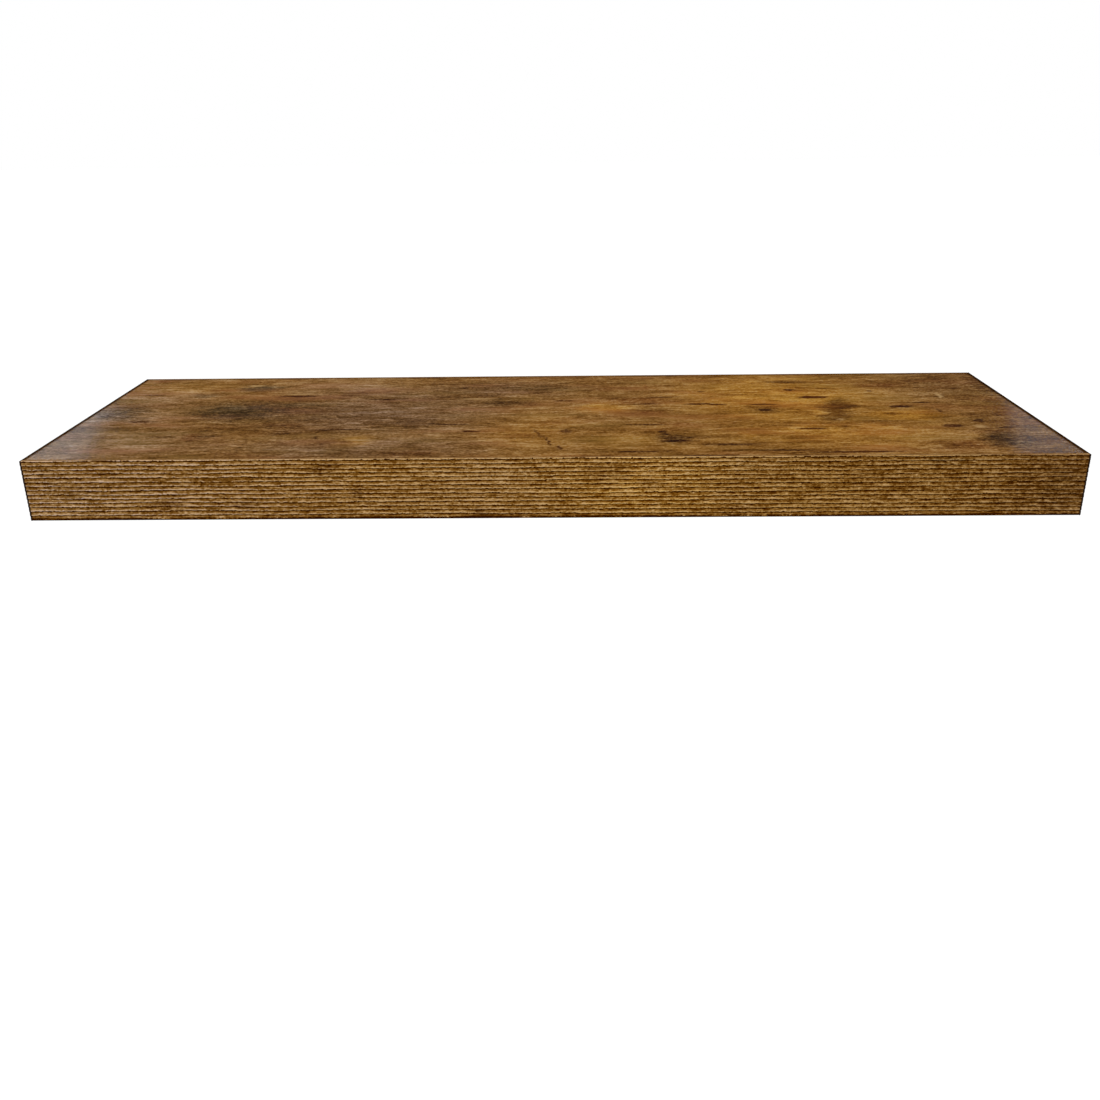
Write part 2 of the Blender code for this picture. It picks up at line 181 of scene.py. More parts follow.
def face_outwards() -> None:
    """Turns every face of the piece that is being edited outwards."""
    bpy.ops.mesh.select_all(action="SELECT")
    bpy.ops.mesh.normals_make_consistent(inside=False)


def block(name: str, low: Place, high: Place) -> bpy.types.Object:
    """A box between two corners, as the start of a piece.

    Args:
        name: the piece's name.
        low: its lowest corner.
        high: its highest corner.

    Returns:
        The box.
    """
    pick()
    bpy.ops.mesh.primitive_cube_add(size=1, location=[(a + b) / 2 for a, b in zip(low, high)])
    return adopt(name, [b - a for a, b in zip(low, high)])


def turned(
    name: str,
    rings: Sequence[tuple[float, float]],
    facets: int,
    start: Place = (0, 0, 0),
    heading: Heading = Heading.UP,
) -> bpy.types.Object:
    """A turned piece: a disc that is extruded and resized from ring to ring.

    Args:
        name: the piece's name.
        rings: each ring's distance along the axis and its radius, in order.
        facets: how many facets go round.
        start: where the axis starts.
        heading: where the axis points.

    Returns:
        The closed piece.
    """
    first, radius = rings[0]
    pick()
    bpy.ops.mesh.primitive_circle_add(
        vertices=facets, radius=radius, fill_type="NGON", location=(0, 0, first)
    )
    obj = adopt(name)
    with editing(obj, Element.FACE):
        for (z0, r0), (z1, r1) in pairwise(rings):
            bpy.ops.mesh.extrude_region_move(TRANSFORM_OT_translate={"value": (0, 0, z1 - z0)})
            if r1 != r0:
                bpy.ops.transform.resize(value=(r1 / r0, r1 / r0, 1), center_override=(0, 0, z1))
        face_outwards()
    return put(obj, heading, start)


def cut(obj: bpy.types.Object, *cutters: bpy.types.Object) -> None:
    """Cuts the shapes of some cutters out of a piece and removes the cutters.

    Args:
        obj: the piece.
        cutters: closed shapes.
    """
    for cutter in cutters:
        apply_modifier(obj, "BOOLEAN", operation="DIFFERENCE", solver="EXACT", object=cutter)
        discard(cutter)


def soften(obj: bpy.types.Object, width: float, segments: int = 2, angle: float = 35) -> None:
    """Rounds a piece's sharp edges and shades its gentle ones smooth.

    Args:
        obj: the piece.
        width: the rounding's width.
        segments: how many steps the rounding has.
        angle: edges that turn more than this many degrees are sharp.
    """
    apply_modifier(
        obj,
        "BEVEL",
        width=width,
        segments=segments,
        limit_method="ANGLE",
        angle_limit=math.radians(angle),
        use_clamp_overlap=True,
    )
    shade(obj, 50)
    apply_modifier(obj, "WEIGHTED_NORMAL", keep_sharp=True, weight=100)


def shade(obj: bpy.types.Object, angle: float = 35) -> None:
    """Shades a piece smooth across edges that turn less than an angle in degrees."""
    pick(obj)
    bpy.ops.object.shade_smooth_by_angle(angle=math.radians(angle))


def helix(
    name: str,
    core: float,
    crest: float,
    pitch: float,
    start: float,
    turns: int,
    steps: int = 24,
    share: float = 0.55,
) -> bpy.types.Object:
    """The ridge of a thread round the z axis, which runs out at both ends.

    Args:
        name: the shape's name.
        core: radius of the thread's root.
        crest: radius of its crest.
        pitch: rise of one turn.
        start: height at which it starts.
        turns: how many turns it has.
        steps: facets of one turn.
        share: how much of the pitch its root is wide.

    Returns:
        The closed ridge.
    """
    depth = crest - core
    pick()
    bpy.ops.mesh.primitive_circle_add(
        vertices=3,
        radius=depth,
        location=(core, 0, start),
        rotation=(math.pi / 2, math.pi / 2, 0),
    )
    obj = adopt(name, (share * pitch / (depth * math.sqrt(3)), 1, 1))
    apply_modifier(
        obj,
        "SCREW",
        axis="Z",
        angle=math.tau,
        screw_offset=pitch,
        iterations=turns,
        steps=steps,
        render_steps=steps,
        use_normal_calculate=False,
    )
    with editing(obj, Element.EDGE):
        bpy.ops.mesh.select_all(action="SELECT")
        bpy.ops.mesh.remove_doubles(threshold=HAIR)
        bpy.ops.mesh.fill_holes(sides=3)
        face_outwards()
    end = start + pitch * turns
    fade = pitch * 0.6
    sunk = core * 0.9
    for point in obj.data.vertices:
        run_out = min(1.0, (point.co.z - start) / fade, (end - point.co.z) / fade)
        radius = math.hypot(point.co.x, point.co.y)
        if run_out < 1 and radius > sunk:
            keep = sunk + (radius - sunk) * max(0.0, run_out)
            point.co.x *= keep / radius
            point.co.y *= keep / radius
    return obj


def copied(obj: bpy.types.Object, name: str, move: Place) -> bpy.types.Object:
    """A copy of a piece with a mesh of its own, moved to its place.

    Args:
        obj: the piece.
        name: the copy's name.
        move: how far the copy lies from the piece.

    Returns:
        The copy.
    """
    twin = obj.copy()
    twin.data = obj.data.copy()
    twin.name = name
    twin.data.name = name
    twin.location = move
    bpy.context.collection.objects.link(twin)
    return settle(twin)


def discard(*objects: bpy.types.Object) -> None:
    """Removes shapes that have done their work."""
    for obj in objects:
        bpy.data.objects.remove(obj, do_unlink=True)


def add_thread(screw: bpy.types.Object, thread: bpy.types.Object) -> None:
    """Shades a screw and the ridge of its thread, and joins them.

    Args:
        screw: the screw.
        thread: the ridge.
    """
    shade(screw)
    shade(thread)
    pick(thread, screw)
    bpy.ops.object.join()


# ---------------------------------------------------------------- shader sums


def srgb(red: float, green: float, blue: float) -> tuple[float, float, float, float]:
    """A screen colour as a linear one.

    Args:
        red: its red, from 0 to 255.
        green: its green.
        blue: its blue.

    Returns:
        The linear colour with full alpha.
    """
    parts = [v / 255 for v in (red, green, blue)]
    linear = [v / 12.92 if v <= 0.04045 else ((v + 0.055) / 1.055) ** 2.4 for v in parts]
    return (*linear, 1.0)


class Value:
    """A shader socket that works in sums: each operation adds its Math node."""

    def __init__(self, shader: "Shader", socket: bpy.types.NodeSocket | None) -> None:
        """Keeps the shader and its socket, or none for the tree's last node."""
        self.shader = shader
        self.socket = socket

    def _math(self, operation: str, *values: "Value | float") -> "Value":
        """The Math node of one operation on some values."""
        inputs = dict(enumerate(values))
        return self.shader.node("ShaderNodeMath", {"operation": operation}, inputs)

    def __add__(self, other: "Value | float") -> "Value":
        """Sum."""
        return self._math("ADD", self, other)

    def __radd__(self, other: "Value | float") -> "Value":
        """Sum with a number in front."""
        return self._math("ADD", other, self)

    def __sub__(self, other: "Value | float") -> "Value":
        """Difference."""
        return self._math("SUBTRACT", self, other)

    def __rsub__(self, other: "Value | float") -> "Value":
        """Difference with a number in front."""
        return self._math("SUBTRACT", other, self)

    def __mul__(self, other: "Value | float") -> "Value":
        """Product."""
        return self._math("MULTIPLY", self, other)

    def __rmul__(self, other: "Value | float") -> "Value":
        """Product with a number in front."""
        return self._math("MULTIPLY", other, self)

    def most(self, other: "Value | float") -> "Value":
        """The greater of two values."""
        return self._math("MAXIMUM", self, other)

    def fraction(self) -> "Value":
        """What follows the point."""
        return self._math("FRACT", self)


class Shader:
    """The node tree of one material or of the world."""

    def __init__(self, owner: str | bpy.types.World) -> None:
        """Starts an empty tree.

        Args:
            owner: a new material's name, or the world.
        """
        self.owner = bpy.data.materials.new(owner) if isinstance(owner, str) else owner
        self.owner.use_nodes = True
        self.tree = self.owner.node_tree
        self.tree.nodes.clear()

    def node(
        self,
        kind: str,
        settings: dict[str, object] | None = None,
        inputs: dict[int | str, object] | None = None,
        output: int | str = 0,
    ) -> Value:
        """Adds a node.

        Args:
            kind: the node's type.
            settings: its settings, such as an operation; "stops" are a ramp's places and colours.
            inputs: values or links of its sockets.
            output: which of its outputs is wanted.

        Returns:
            The wanted output.
        """
        node = self.tree.nodes.new(kind)
        for key, value in (settings or {}).items():
            if key == "stops":
                self._stops(node.color_ramp, value)
            else:
                setattr(node, key, value)
        for key, value in (inputs or {}).items():
            if isinstance(value, Value):
                self.tree.links.new(value.socket, node.inputs[key])
            else:
                node.inputs[key].default_value = value
        return Value(self, node.outputs[output] if node.outputs else None)

    @staticmethod
    def _stops(ramp: bpy.types.ColorRamp, stops: Stops) -> None:
        """Sets a ramp's stops.

        Args:
            ramp: the ramp, with the two stops of a new one.
            stops: their places and colours.
        """
        while len(ramp.elements) < len(stops):
            ramp.elements.new(1.0)
        for element, (place, colour) in zip(ramp.elements, stops):
            element.position = place
            element.color = colour

    def place(self) -> Value:
        """The piece's own coordinates."""
        return self.node("ShaderNodeTexCoord", output="Object")

    def parts(self, vector: Value) -> tuple[Value, Value, Value]:
        """A vector's three numbers.

        Args:
            vector: the vector.

        Returns:
            Its x, y and z.
        """
        x = self.node("ShaderNodeSeparateXYZ", None, {0: vector})
        outputs = x.socket.node.outputs
        return x, Value(self, outputs[1]), Value(self, outputs[2])

    def vector(self, x: Value | float, y: Value | float, z: Value | float = 0.0) -> Value:
        """Three numbers as a vector."""
        return self.node("ShaderNodeCombineXYZ", None, {0: x, 1: y, 2: z})

    def shift(self, vector: Value, by: Value, amount: Place) -> Value:
        """Moves a vector by another.

        Args:
            vector: what is moved.
            by: what moves it, from 0 to 1 on each axis, where 0.5 leaves it.
            amount: how far 1 moves it from where 0 does.

        Returns:
            The moved vector.
        """
        kind = "ShaderNodeVectorMath"
        centred = self.node(kind, {"operation": "SUBTRACT"}, {0: by, 1: (0.5,) * 3})
        return self.node(
            kind, {"operation": "MULTIPLY_ADD"}, {0: centred, 1: amount, 2: vector}
        )

    def noise(
        self,
        vector: Value,
        size: Place,
        seed: float = 0.0,
        detail: float = 2.0,
        rough: float = 0.5,
        colour: bool = False,
    ) -> Value:
        """Noise whose lumps have a given size along each axis.

        Args:
            vector: where it is read, in the same unit as the size.
            size: the lumps' size on each axis.
            seed: moves the noise to another place.
            detail: how many finer layers it has.
            rough: how strong the finer layers are.
            colour: three different values are wanted instead of one.

        Returns:
            Values about 0.5.
        """
        away = (seed * 3.7, seed * 5.3, seed * 7.9)
        scale = [1 / s for s in size]
        placed = self.node(
            "ShaderNodeMapping", None, {"Vector": vector, "Location": away, "Scale": scale}
        )
        inputs = {"Vector": placed, "Scale": 1.0, "Detail": detail, "Roughness": rough}
        return self.node("ShaderNodeTexNoise", None, inputs, output=1 if colour else 0)

    def step(
        self, value: Value, low: float, high: float, start: float = 0.0, end: float = 1.0
    ) -> Value:
        """A smooth step from start, where the value is low, to end, where it is high."""
        settings = {"interpolation_type": "SMOOTHSTEP", "clamp": False}
        inputs = {0: value, 1: low, 2: high, 3: start, 4: end}
        return self.node("ShaderNodeMapRange", settings, inputs)

    def mix(self, factor: Value | float, a: object, b: object, blend: str = "MIX") -> Value:
        """Mixes two colours."""
        settings = {"data_type": "RGBA", "blend_type": blend}
        return self.node("ShaderNodeMix", settings, {0: factor, 6: a, 7: b}, output=2)

    def ramp(self, value: Value, *stops: tuple[float, tuple[int, int, int]]) -> Value:
        """Colours by value, from stops of a place and a screen colour."""
        linear = [(place, srgb(*colour)) for place, colour in stops]
        return self.node("ShaderNodeValToRGB", {"stops": linear}, {0: value})

    def bump(self, height: Value, distance: float) -> Value:
        """The normal of a fine relief, whose height of 1 stands for a distance in metres."""
        inputs = {"Height": height, "Distance": distance, "Strength": 1.0}
        return self.node("ShaderNodeBump", None, inputs)

    def light(self, kind: str, strength: Value) -> Value:
        """The white glow of an Emission or Background node."""
        return self.node(kind, None, {"Color": (1, 1, 1, 1), "Strength": strength})

    def close(self, surface: Value, kind: str = "ShaderNodeOutputMaterial") -> None:
        """Joins the surface to the tree's last node."""
        self.node(kind, None, {"Surface": surface})

    def finish(self, **inputs: object) -> bpy.types.Material:
        """Closes the material with one surface.

        Args:
            inputs: the surface's sockets, with _ for a space.

        Returns:
            The material.
        """
        named = {key.replace("_", " "): value for key, value in inputs.items()}
        self.close(self.node("ShaderNodeBsdfPrincipled", None, named))
        return self.owner


# ---------------------------------------------------------------- finishes


MIDDLE_BROWN = srgb(124, 86, 42)


class Tone(Enum):
    """The kinds of marks in the wood print.

    Each one has its colour, how far it covers the ground, and whether the ground shows through. The
    sand tone is a pale sandy tone of the print, and its broad marks at the left end of the top and
    of the front are also a painted cool sheen over that end.
    """

    # pale sandy tone of the print, and a painted cool sheen where its broad marks lie over the left
    # end
    SAND_AND_SHEEN = (srgb(134, 102, 71), 1.0, True)
    DUSK = (srgb(113, 83, 57), 1.0, True)
    GOLD = (srgb(160, 111, 41), 1.0, True)
    UMBER = (srgb(92, 59, 25), 1.0, True)
    RUST = (srgb(110, 66, 27), 1.0, True)
    SMOKE = (srgb(80, 61, 36), 1.3, True)
    BURN = (srgb(79, 48, 14), 1.3, True)
    STREAK = (srgb(58, 25, 0), 1.45, True)
    KNOT = (srgb(52, 18, 0), 1.5, True)
    PALE = (srgb(180, 146, 98), 1.1, False)


@dataclass(frozen=True)
class Mark:
    """One mark of the wood print: its middle and half-sizes in millimetres, strength and turn.

    On the sheets x runs along the board from its middle and y from its back edge, on the front
    y runs down from the top. The turn is in degrees.
    """

    x: float
    y: float
    along: float
    across: float
    strength: float = 1.0
    turn: float = 0.0


Marks = dict[Tone, tuple[Mark, ...]]


def marks(*rows: tuple[float, ...]) -> tuple[Mark, ...]:
    """Marks of one kind, from rows in the order of Mark's fields."""
    return tuple(Mark(*row) for row in rows)


TOP_MARKS: Marks = {
    # The first two sand marks, over the left end, are partly a painted cool sheen.
    Tone.SAND_AND_SHEEN: marks((-290, 80, 62, 110, 0.8), (-262, 166, 60, 44, 0.9), (-150, 30, 60, 30, 0.45)),
    Tone.DUSK: marks((-110, 100, 85, 60, 0.85), (-110, 178, 80, 28, 0.75), (-40, 38, 60, 26, 0.65)),
    Tone.GOLD: marks(
        (150, 70, 70, 85, 0.75), (165, 150, 75, 45, 0.6), (60, 165, 70, 40, 0.35),
        (34, 92, 20, 14, 0.6), (145, 55, 17, 25, 0.5), (219, 115, 27, 15, 0.9),
        (119, 158, 11, 11, 0.6), (-117, 163, 13, 12, 0.65), (-262, 26, 45, 24, 0.45),
        (-12, 150, 34, 60, 0.4),
    ),
    Tone.UMBER: marks(
        (-150, 108, 85, 45, 0.55), (-70, 50, 110, 36, 0.45), (-150, 112, 35, 25, 0.4),
        (-40, 180, 80, 20, 0.3), (-138, 52, 9, 8, 0.7), (-85, 60, 15, 10, 0.7),
        (-86, 124, 16, 14, 0.85), (-162, 145, 9, 9, 0.9), (-210, 150, 9, 17, 0.6),
        (-292, 165, 26, 50, 0.5), (-130, 192, 70, 10, 0.5), (-198, 177, 10, 8, 0.5),
        (277, 92, 16, 22, 0.42), (274, 36, 40, 52, 0.8), (296, 35, 12, 45, 0.9),
        (280, 152, 34, 58, 0.7), (288, 178, 30, 36, 0.8), (227, 35, 20, 9, 0.5),
        (-172, 174, 55, 32, 0.4), (-60, 168, 50, 26, 0.25), (-285, 100, 24, 24, 0.65),
        (180, 141, 6, 7, 0.6), (88, 161, 8, 6, 0.6), (262, 166, 9, 12, 0.8), (16, 172, 7, 10, 0.35),
        (284, 80, 18, 14, 0.6), (-262, 112, 15, 9, 0.55), (232, 180, 18, 13, 0.5),
    ),
    Tone.RUST: marks(
        (-285, 11, 8, 5, 0.5), (-218, 152, 5, 10, 0.6), (35, 43, 13, 6, 0.7),
        (57, 74, 25, 10, 0.75), (77, 132, 8, 8, 0.6), (65, 103, 10, 4, 0.6), (227, 35, 20, 9, 0.8),
        (-80, 191, 20, 6, 0.6), (237, 181, 18, 11, 0.75), (64, 36, 1.5, 8, 0.6),
        (-262, 52, 18, 8, 0.3), (10, 12, 60, 8, 0.4),
    ),
    Tone.SMOKE: marks(
        (-204, 93, 32, 24, 0.75), (-183, 82, 26, 13, 0.45), (-207, 31, 16, 10, 0.6),
        (-240, 54, 10, 6, 0.4), (-284, 98, 20, 22, 0.5), (268, 170, 15, 15, 0.45),
    ),
    Tone.BURN: marks(
        (-5, 37, 32, 13, 0.3), (8, 37, 10, 10, 0.35), (-30, 78, 18, 8, 0.75),
        (160, 24, 15, 5.5, 0.85), (182, 102, 9, 27, 1.1, 18), (136, 99, 12, 10, 0.65),
        (72, 163, 11, 13, 0.7), (-44, 57, 10, 4, 0.5), (262, 168, 12, 18, 0.85),
        (295, 44, 7, 40, 0.5), (-234, 153, 10, 2.2, 0.6), (-206, 152, 9, 2, 0.6),
    ),
    Tone.STREAK: marks(
        (-277, 49, 8, 1.5, 0.6), (-174, 55, 12, 2.5, 0.8), (-112, 66, 12, 2, 0.6),
        (-131, 139, 17, 1.6, 0.8), (-262, 118, 10, 2, 0.8), (75, 65, 12, 1.4, 0.8),
        (61, 83, 10, 1.5, 0.8), (7, 73, 8, 1.6, 0.7), (95, 84, 9, 2.2, 0.9),
        (-62, 129, 12, 1.8, 0.6), (-50, 145, 5, 2.0, 1.0), (59, 133, 12, 1.6, 0.7),
        (51, 189, 16, 1.6, 0.7), (92, 197, 18, 1.4, 0.8), (173, 68, 9, 3.0, 1.4),
        (107, 85, 7, 1.6, 0.8), (138, 86, 9, 1.6, 0.7), (134, 188, 18, 1.5, 0.8, 2),
        (172, 192, 28, 1.8, 0.9, -1), (105, 176, 20, 3, 0.45), (157, 144, 10, 2, 0.7),
        (74, 168, 12, 2.2, 0.8), (246, 105, 1.4, 5, 0.8), (-61, 37, 1.6, 4, 0.7),
        (240, 84, 14, 1.4, 0.5), (205, 128, 18, 1.3, 0.5), (-8, 150, 0.7, 10, 0.9, -14),
        (-2, 166, 0.8, 11, 1.0, -12), (5, 180, 1.0, 5, 0.9, -8),
    ),
    Tone.KNOT: marks(
        (161, 48, 3.2, 2.8, 1.1), (225, 94, 8, 3.0, 1.0), (9, 146, 4.0, 6.0, 0.5),
        (136, 100, 6, 4.5, 0.5), (68, 151, 2.8, 7, 0.5), (72, 162, 6, 6, 0.5),
        (243, 140, 5.5, 3.6, 1.4), (263, 129, 3.2, 3.6, 0.9), (101, 51, 2.4, 1.6, 0.9),
        (215, 53, 2.4, 1.8, 0.8), (273, 144, 2.4, 1.8, 0.8), (-141, 157, 1.6, 3.0, 0.9),
        (-203, 31, 8, 3.5, 0.25),
    ),
    Tone.PALE: marks(
        (-212, 24, 7, 2.2, 0.6), (-50, 66, 13, 1.6, 0.6), (258, 66, 1.8, 9, 0.6),
        (-176, 49, 14, 1.8, 0.5), (-112, 162, 12, 1.4, 0.5), (180, 124, 1.6, 3, 0.6),
        (259, 142, 4.5, 4, 0.5),
    ),
}

UNDERSIDE_MARKS: Marks = {
    Tone.GOLD: marks(
        (-180, 70, 110, 70, 0.5), (120, 140, 90, 40, 0.4), (-20, 120, 24, 14, 0.6),
        (240, 50, 20, 16, 0.5),
    ),
    Tone.UMBER: marks(
        (90, 60, 100, 45, 0.5), (-240, 150, 60, 30, 0.5), (160, 165, 30, 12, 0.6),
        (-60, 40, 16, 9, 0.6), (-130, 110, 12, 9, 0.5),
    ),
    Tone.RUST: marks(
        (-110, 150, 22, 8, 0.7), (40, 100, 20, 7, 0.6), (210, 110, 14, 9, 0.6),
        (-250, 60, 12, 7, 0.6),
    ),
    Tone.SMOKE: marks(
        (130, 88, 26, 20, 0.9), (-90, 76, 24, 9, 0.8), (-215, 110, 9, 20, 0.8, -18),
        (20, 170, 20, 8, 0.7), (260, 160, 12, 10, 0.7),
    ),
    Tone.STREAK: marks(
        (-170, 40, 14, 1.8, 0.8), (-30, 95, 10, 1.5, 0.8), (70, 140, 16, 1.6, 0.8),
        (180, 60, 9, 2.0, 0.9), (-140, 185, 36, 1.5, 0.8, 1), (250, 90, 12, 1.6, 0.7),
        (0, 50, 0.8, 12, 0.9, 15), (-270, 95, 10, 1.6, 0.7),
    ),
    Tone.KNOT: marks(
        (-150, 90, 7, 3.4, 1.0), (60, 60, 3.4, 5.5, 0.9), (-40, 150, 4.5, 3, 1.0),
        (230, 140, 6, 4, 0.9), (170, 110, 2.6, 2, 0.9),
    ),
    Tone.PALE: marks((-120, 60, 14, 1.7, 0.6), (100, 120, 12, 1.5, 0.5), (-200, 170, 1.8, 8, 0.5)),
}

FRONT_MARKS: Marks = {
    # This sand mark over the left end is partly a painted cool sheen.
    Tone.SAND_AND_SHEEN: marks((-290, 18, 150, 60, 0.36)),
    Tone.GOLD: marks((60, 18, 70, 30, 0.35), (170, 20, 110, 30, 0.35), (-120, 8, 70, 7, 0.2)),
    Tone.UMBER: marks(
        (232, 24, 80, 14, 0.5), (190, 18, 110, 30, 0.6), (290, 18, 60, 40, 0.75),
        (-218, 27, 10, 4, 0.5), (-175, 27, 12, 3, 0.5), (-128, 7, 12, 5, 0.5),
        (-110, 20, 4, 3, 0.6), (-39, 32, 6, 4, 0.5), (32, 9, 15, 7, 0.5), (58, 16, 10, 4, 0.5),
        (110, 30, 15, 3, 0.5), (164, 17, 8, 4, 0.5), (214, 17, 11, 6, 0.5),
    ),
    Tone.SMOKE: marks(
        (-284, 13, 9, 9, 0.2), (-270, 20, 14, 5, 0.2), (221, 3, 13, 3, 0.25),
        (286, 18, 13, 14, 0.2),
    ),
}


@dataclass(frozen=True)
class WoodPrint:
    """The brown rustic wood print: satin foil with smoky patches, knots and short dark streaks.

    Its top is the height where the front's print starts, its back where the sheets' does, and the
    rims are where the print starts to darken and is darkest. All are in millimetres.
    """

    name: str
    marks: Marks
    seed: float = 0.0
    grooved: bool = False
    ends: bool = False
    patchy: float = 1.0
    small_mark: float = 5.0
    top: float = 18.0
    back: float = 0.5
    end_rim: tuple[float, float] = (296.2, 298.0)
    back_rim: tuple[float, float] = (8.0, 3.0)
    low_rim: tuple[float, float] = (34.1, 34.9)
    row_gap: float = 7.3

    def ground(self, shader: Shader, p: Value) -> tuple[Value, Value]:
        """The print without its marks.

        Args:
            shader: the material.
            p: place on the print, in millimetres, x along the grain.

        Returns:
            The tone from dark to light, and the fine grain alone.
        """
        seed = self.seed
        bend = shader.noise(p, (45, 16, 16), seed + 1, 1, colour=True)
        q = shader.shift(p, bend, (10, 9, 0))
        broad = shader.noise(q, (120, 34, 30), seed + 2, 2)
        blots = shader.noise(q, (20, 9, 9), seed + 3, 3, 0.6)
        bands = shader.noise(q, (34, 4.2, 5), seed + 6, 3, 0.6)
        fibres = shader.noise(q, (8, 1.1, 1), seed + 4, 3, 0.65)
        grit = shader.noise(p, (1.6, 1.1, 1), seed + 5, 2, 0.6)
        fine = (fibres - 0.5) * 1.6 + (grit - 0.5) * 1.4
        patches = (broad - 0.5) * 0.8 + (blots - 0.5) * 0.9 + (bands - 0.5) * 0.9
        return 0.5 + patches * self.patchy + fine, fine

    def marked(self, shader: Shader, p: Value, fine: Value, colour: Value) -> Value:
        """Lays the marks over the ground.

        Args:
            shader: the material.
            p: place on the print, in millimetres.
            fine: the fine grain, which breaks up the marks.
            colour: the ground's colour.

        Returns:
            The marked colour.
        """
        big = shader.noise(p, (17, 11, 11), self.seed + 11, 2, colour=True)
        small = shader.noise(p, (4, 2.2, 3), self.seed + 12, 2, colour=True)
        comb = shader.noise(p, (15, 1.1, 3), self.seed + 13, 2, 0.6, colour=True)
        combed = shader.shift(p, comb, (30, 2.0, 0))
        soft = shader.parts(shader.shift(shader.shift(combed, big, (19, 13, 0)), small, (6, 3, 0)))
        crisp = shader.parts(shader.shift(shader.shift(p, comb, (9, 0.8, 0)), small, (3.6, 2.0, 0)))
        total: Value | float = 0.0
        for tone, kind in self.marks.items():
            # Each kind waits for the last one, whose sum rides along as a height that the
            # mark's great size in that direction makes count for nothing.
            loose_place = shader.vector(soft[0], soft[1], total)
            sharp_place = shader.vector(crisp[0], crisp[1], total)
            total = None
            for mark in kind:
                loose = min(mark.along, mark.across) > self.small_mark
                place = shader.node(
                    "ShaderNodeMapping",
                    {"vector_type": "TEXTURE"},
                    {
                        "Vector": loose_place if loose else sharp_place,
                        "Location": (mark.x, mark.y, 0),
                        "Rotation": (0, 0, math.radians(mark.turn)),
                        "Scale": (mark.along, mark.across, 1e6),
                    },
                )
                far = shader.node(
                    "ShaderNodeVectorMath", {"operation": "LENGTH"}, {0: place}, output="Value"
                )
                near = shader.step(far, *((1.8, 0.0) if loose else (1.5, 0.3)), 0, mark.strength)
                total = near if total is None else total.most(near)
            tint, cover, glaze = tone.value
            broken = total * (1.0 - fine * 1.2) * cover
            if glaze:
                tint = tuple(a / b for a, b in zip(tint, MIDDLE_BROWN))
            layer = shader.step(broken, 0.02, 1.0)
            if tone is Tone.KNOT:
                rings = (total * 3.2 + fine * 0.5).fraction()
                layer = layer * shader.step(rings, 0.75, 0.3, 0.72, 1.0)
            colour = shader.mix(layer, colour, tint, "MULTIPLY" if glaze else "MIX")
        return colour

    def build(self) -> bpy.types.Material:
        """Makes the print, over the grooves or on a smooth sheet.

        Returns:
            The material.
        """
        shader = Shader(self.name)
        x, y, z = shader.parts(shader.place())
        if self.grooved:
            along = y if self.ends else x
            p = shader.vector(along * 1000, self.top - z * 1000, 0.0)
            return self._grooved(shader, p, *self.ground(shader, p))
        p = shader.vector(x * 1000, y * -1000 - self.back, 0.0)
        return self._smooth(shader, p, *self.ground(shader, p))

    def _smooth(self, shader: Shader, p: Value, tone: Value, fine: Value) -> bpy.types.Material:
        """The print on a smooth sheet, darker along its ends and its back edge.

        Args:
            shader: the material.
            p: place on the print, in millimetres.
            tone: the ground's tone.
            fine: the fine grain.

        Returns:
            The material.
        """
        colour = shader.ramp(
            tone,
            (0.0, (68, 37, 1)), (0.22, (94, 58, 14)), (0.38, (112, 74, 27)), (0.5, (125, 86, 39)),
            (0.62, (138, 98, 49)), (0.78, (153, 114, 63)), (1.0, (171, 136, 91)),
        )
        hue = shader.noise(p, (55, 17, 17), self.seed + 7, 2)
        colour = shader.mix(shader.step(hue, 0.5, 0.75, 0, 0.5), colour, srgb(134, 84, 44))
        colour = shader.mix(shader.step(hue, 0.5, 0.25, 0, 0.35), colour, srgb(122, 92, 41))
        colour = self.marked(shader, p, fine, colour)
        flecks = shader.noise(p, (5.5, 0.8, 1), self.seed + 9, 2, 0.55)
        colour = shader.mix(shader.step(flecks, 0.63, 0.74, 0, 0.6), colour, srgb(74, 45, 13))
        across, back, _ = shader.parts(p)
        rim = shader.step(across.most(across * -1), *self.end_rim)
        rim = rim.most(shader.step(back, *self.back_rim, 0, 0.5))
        colour = shader.mix(rim, colour, (0.26, 0.21, 0.17, 1), "MULTIPLY")
        return shader.finish(
            Base_Color=colour,
            Roughness=shader.step(fine, -0.3, 0.3, 0.38, 0.3),
            Specular_IOR_Level=0.0,
            Coat_Weight=(1 - rim) * 0.02,
            Coat_Roughness=0.1,
            Normal=shader.bump(fine, 0.00006),
        )

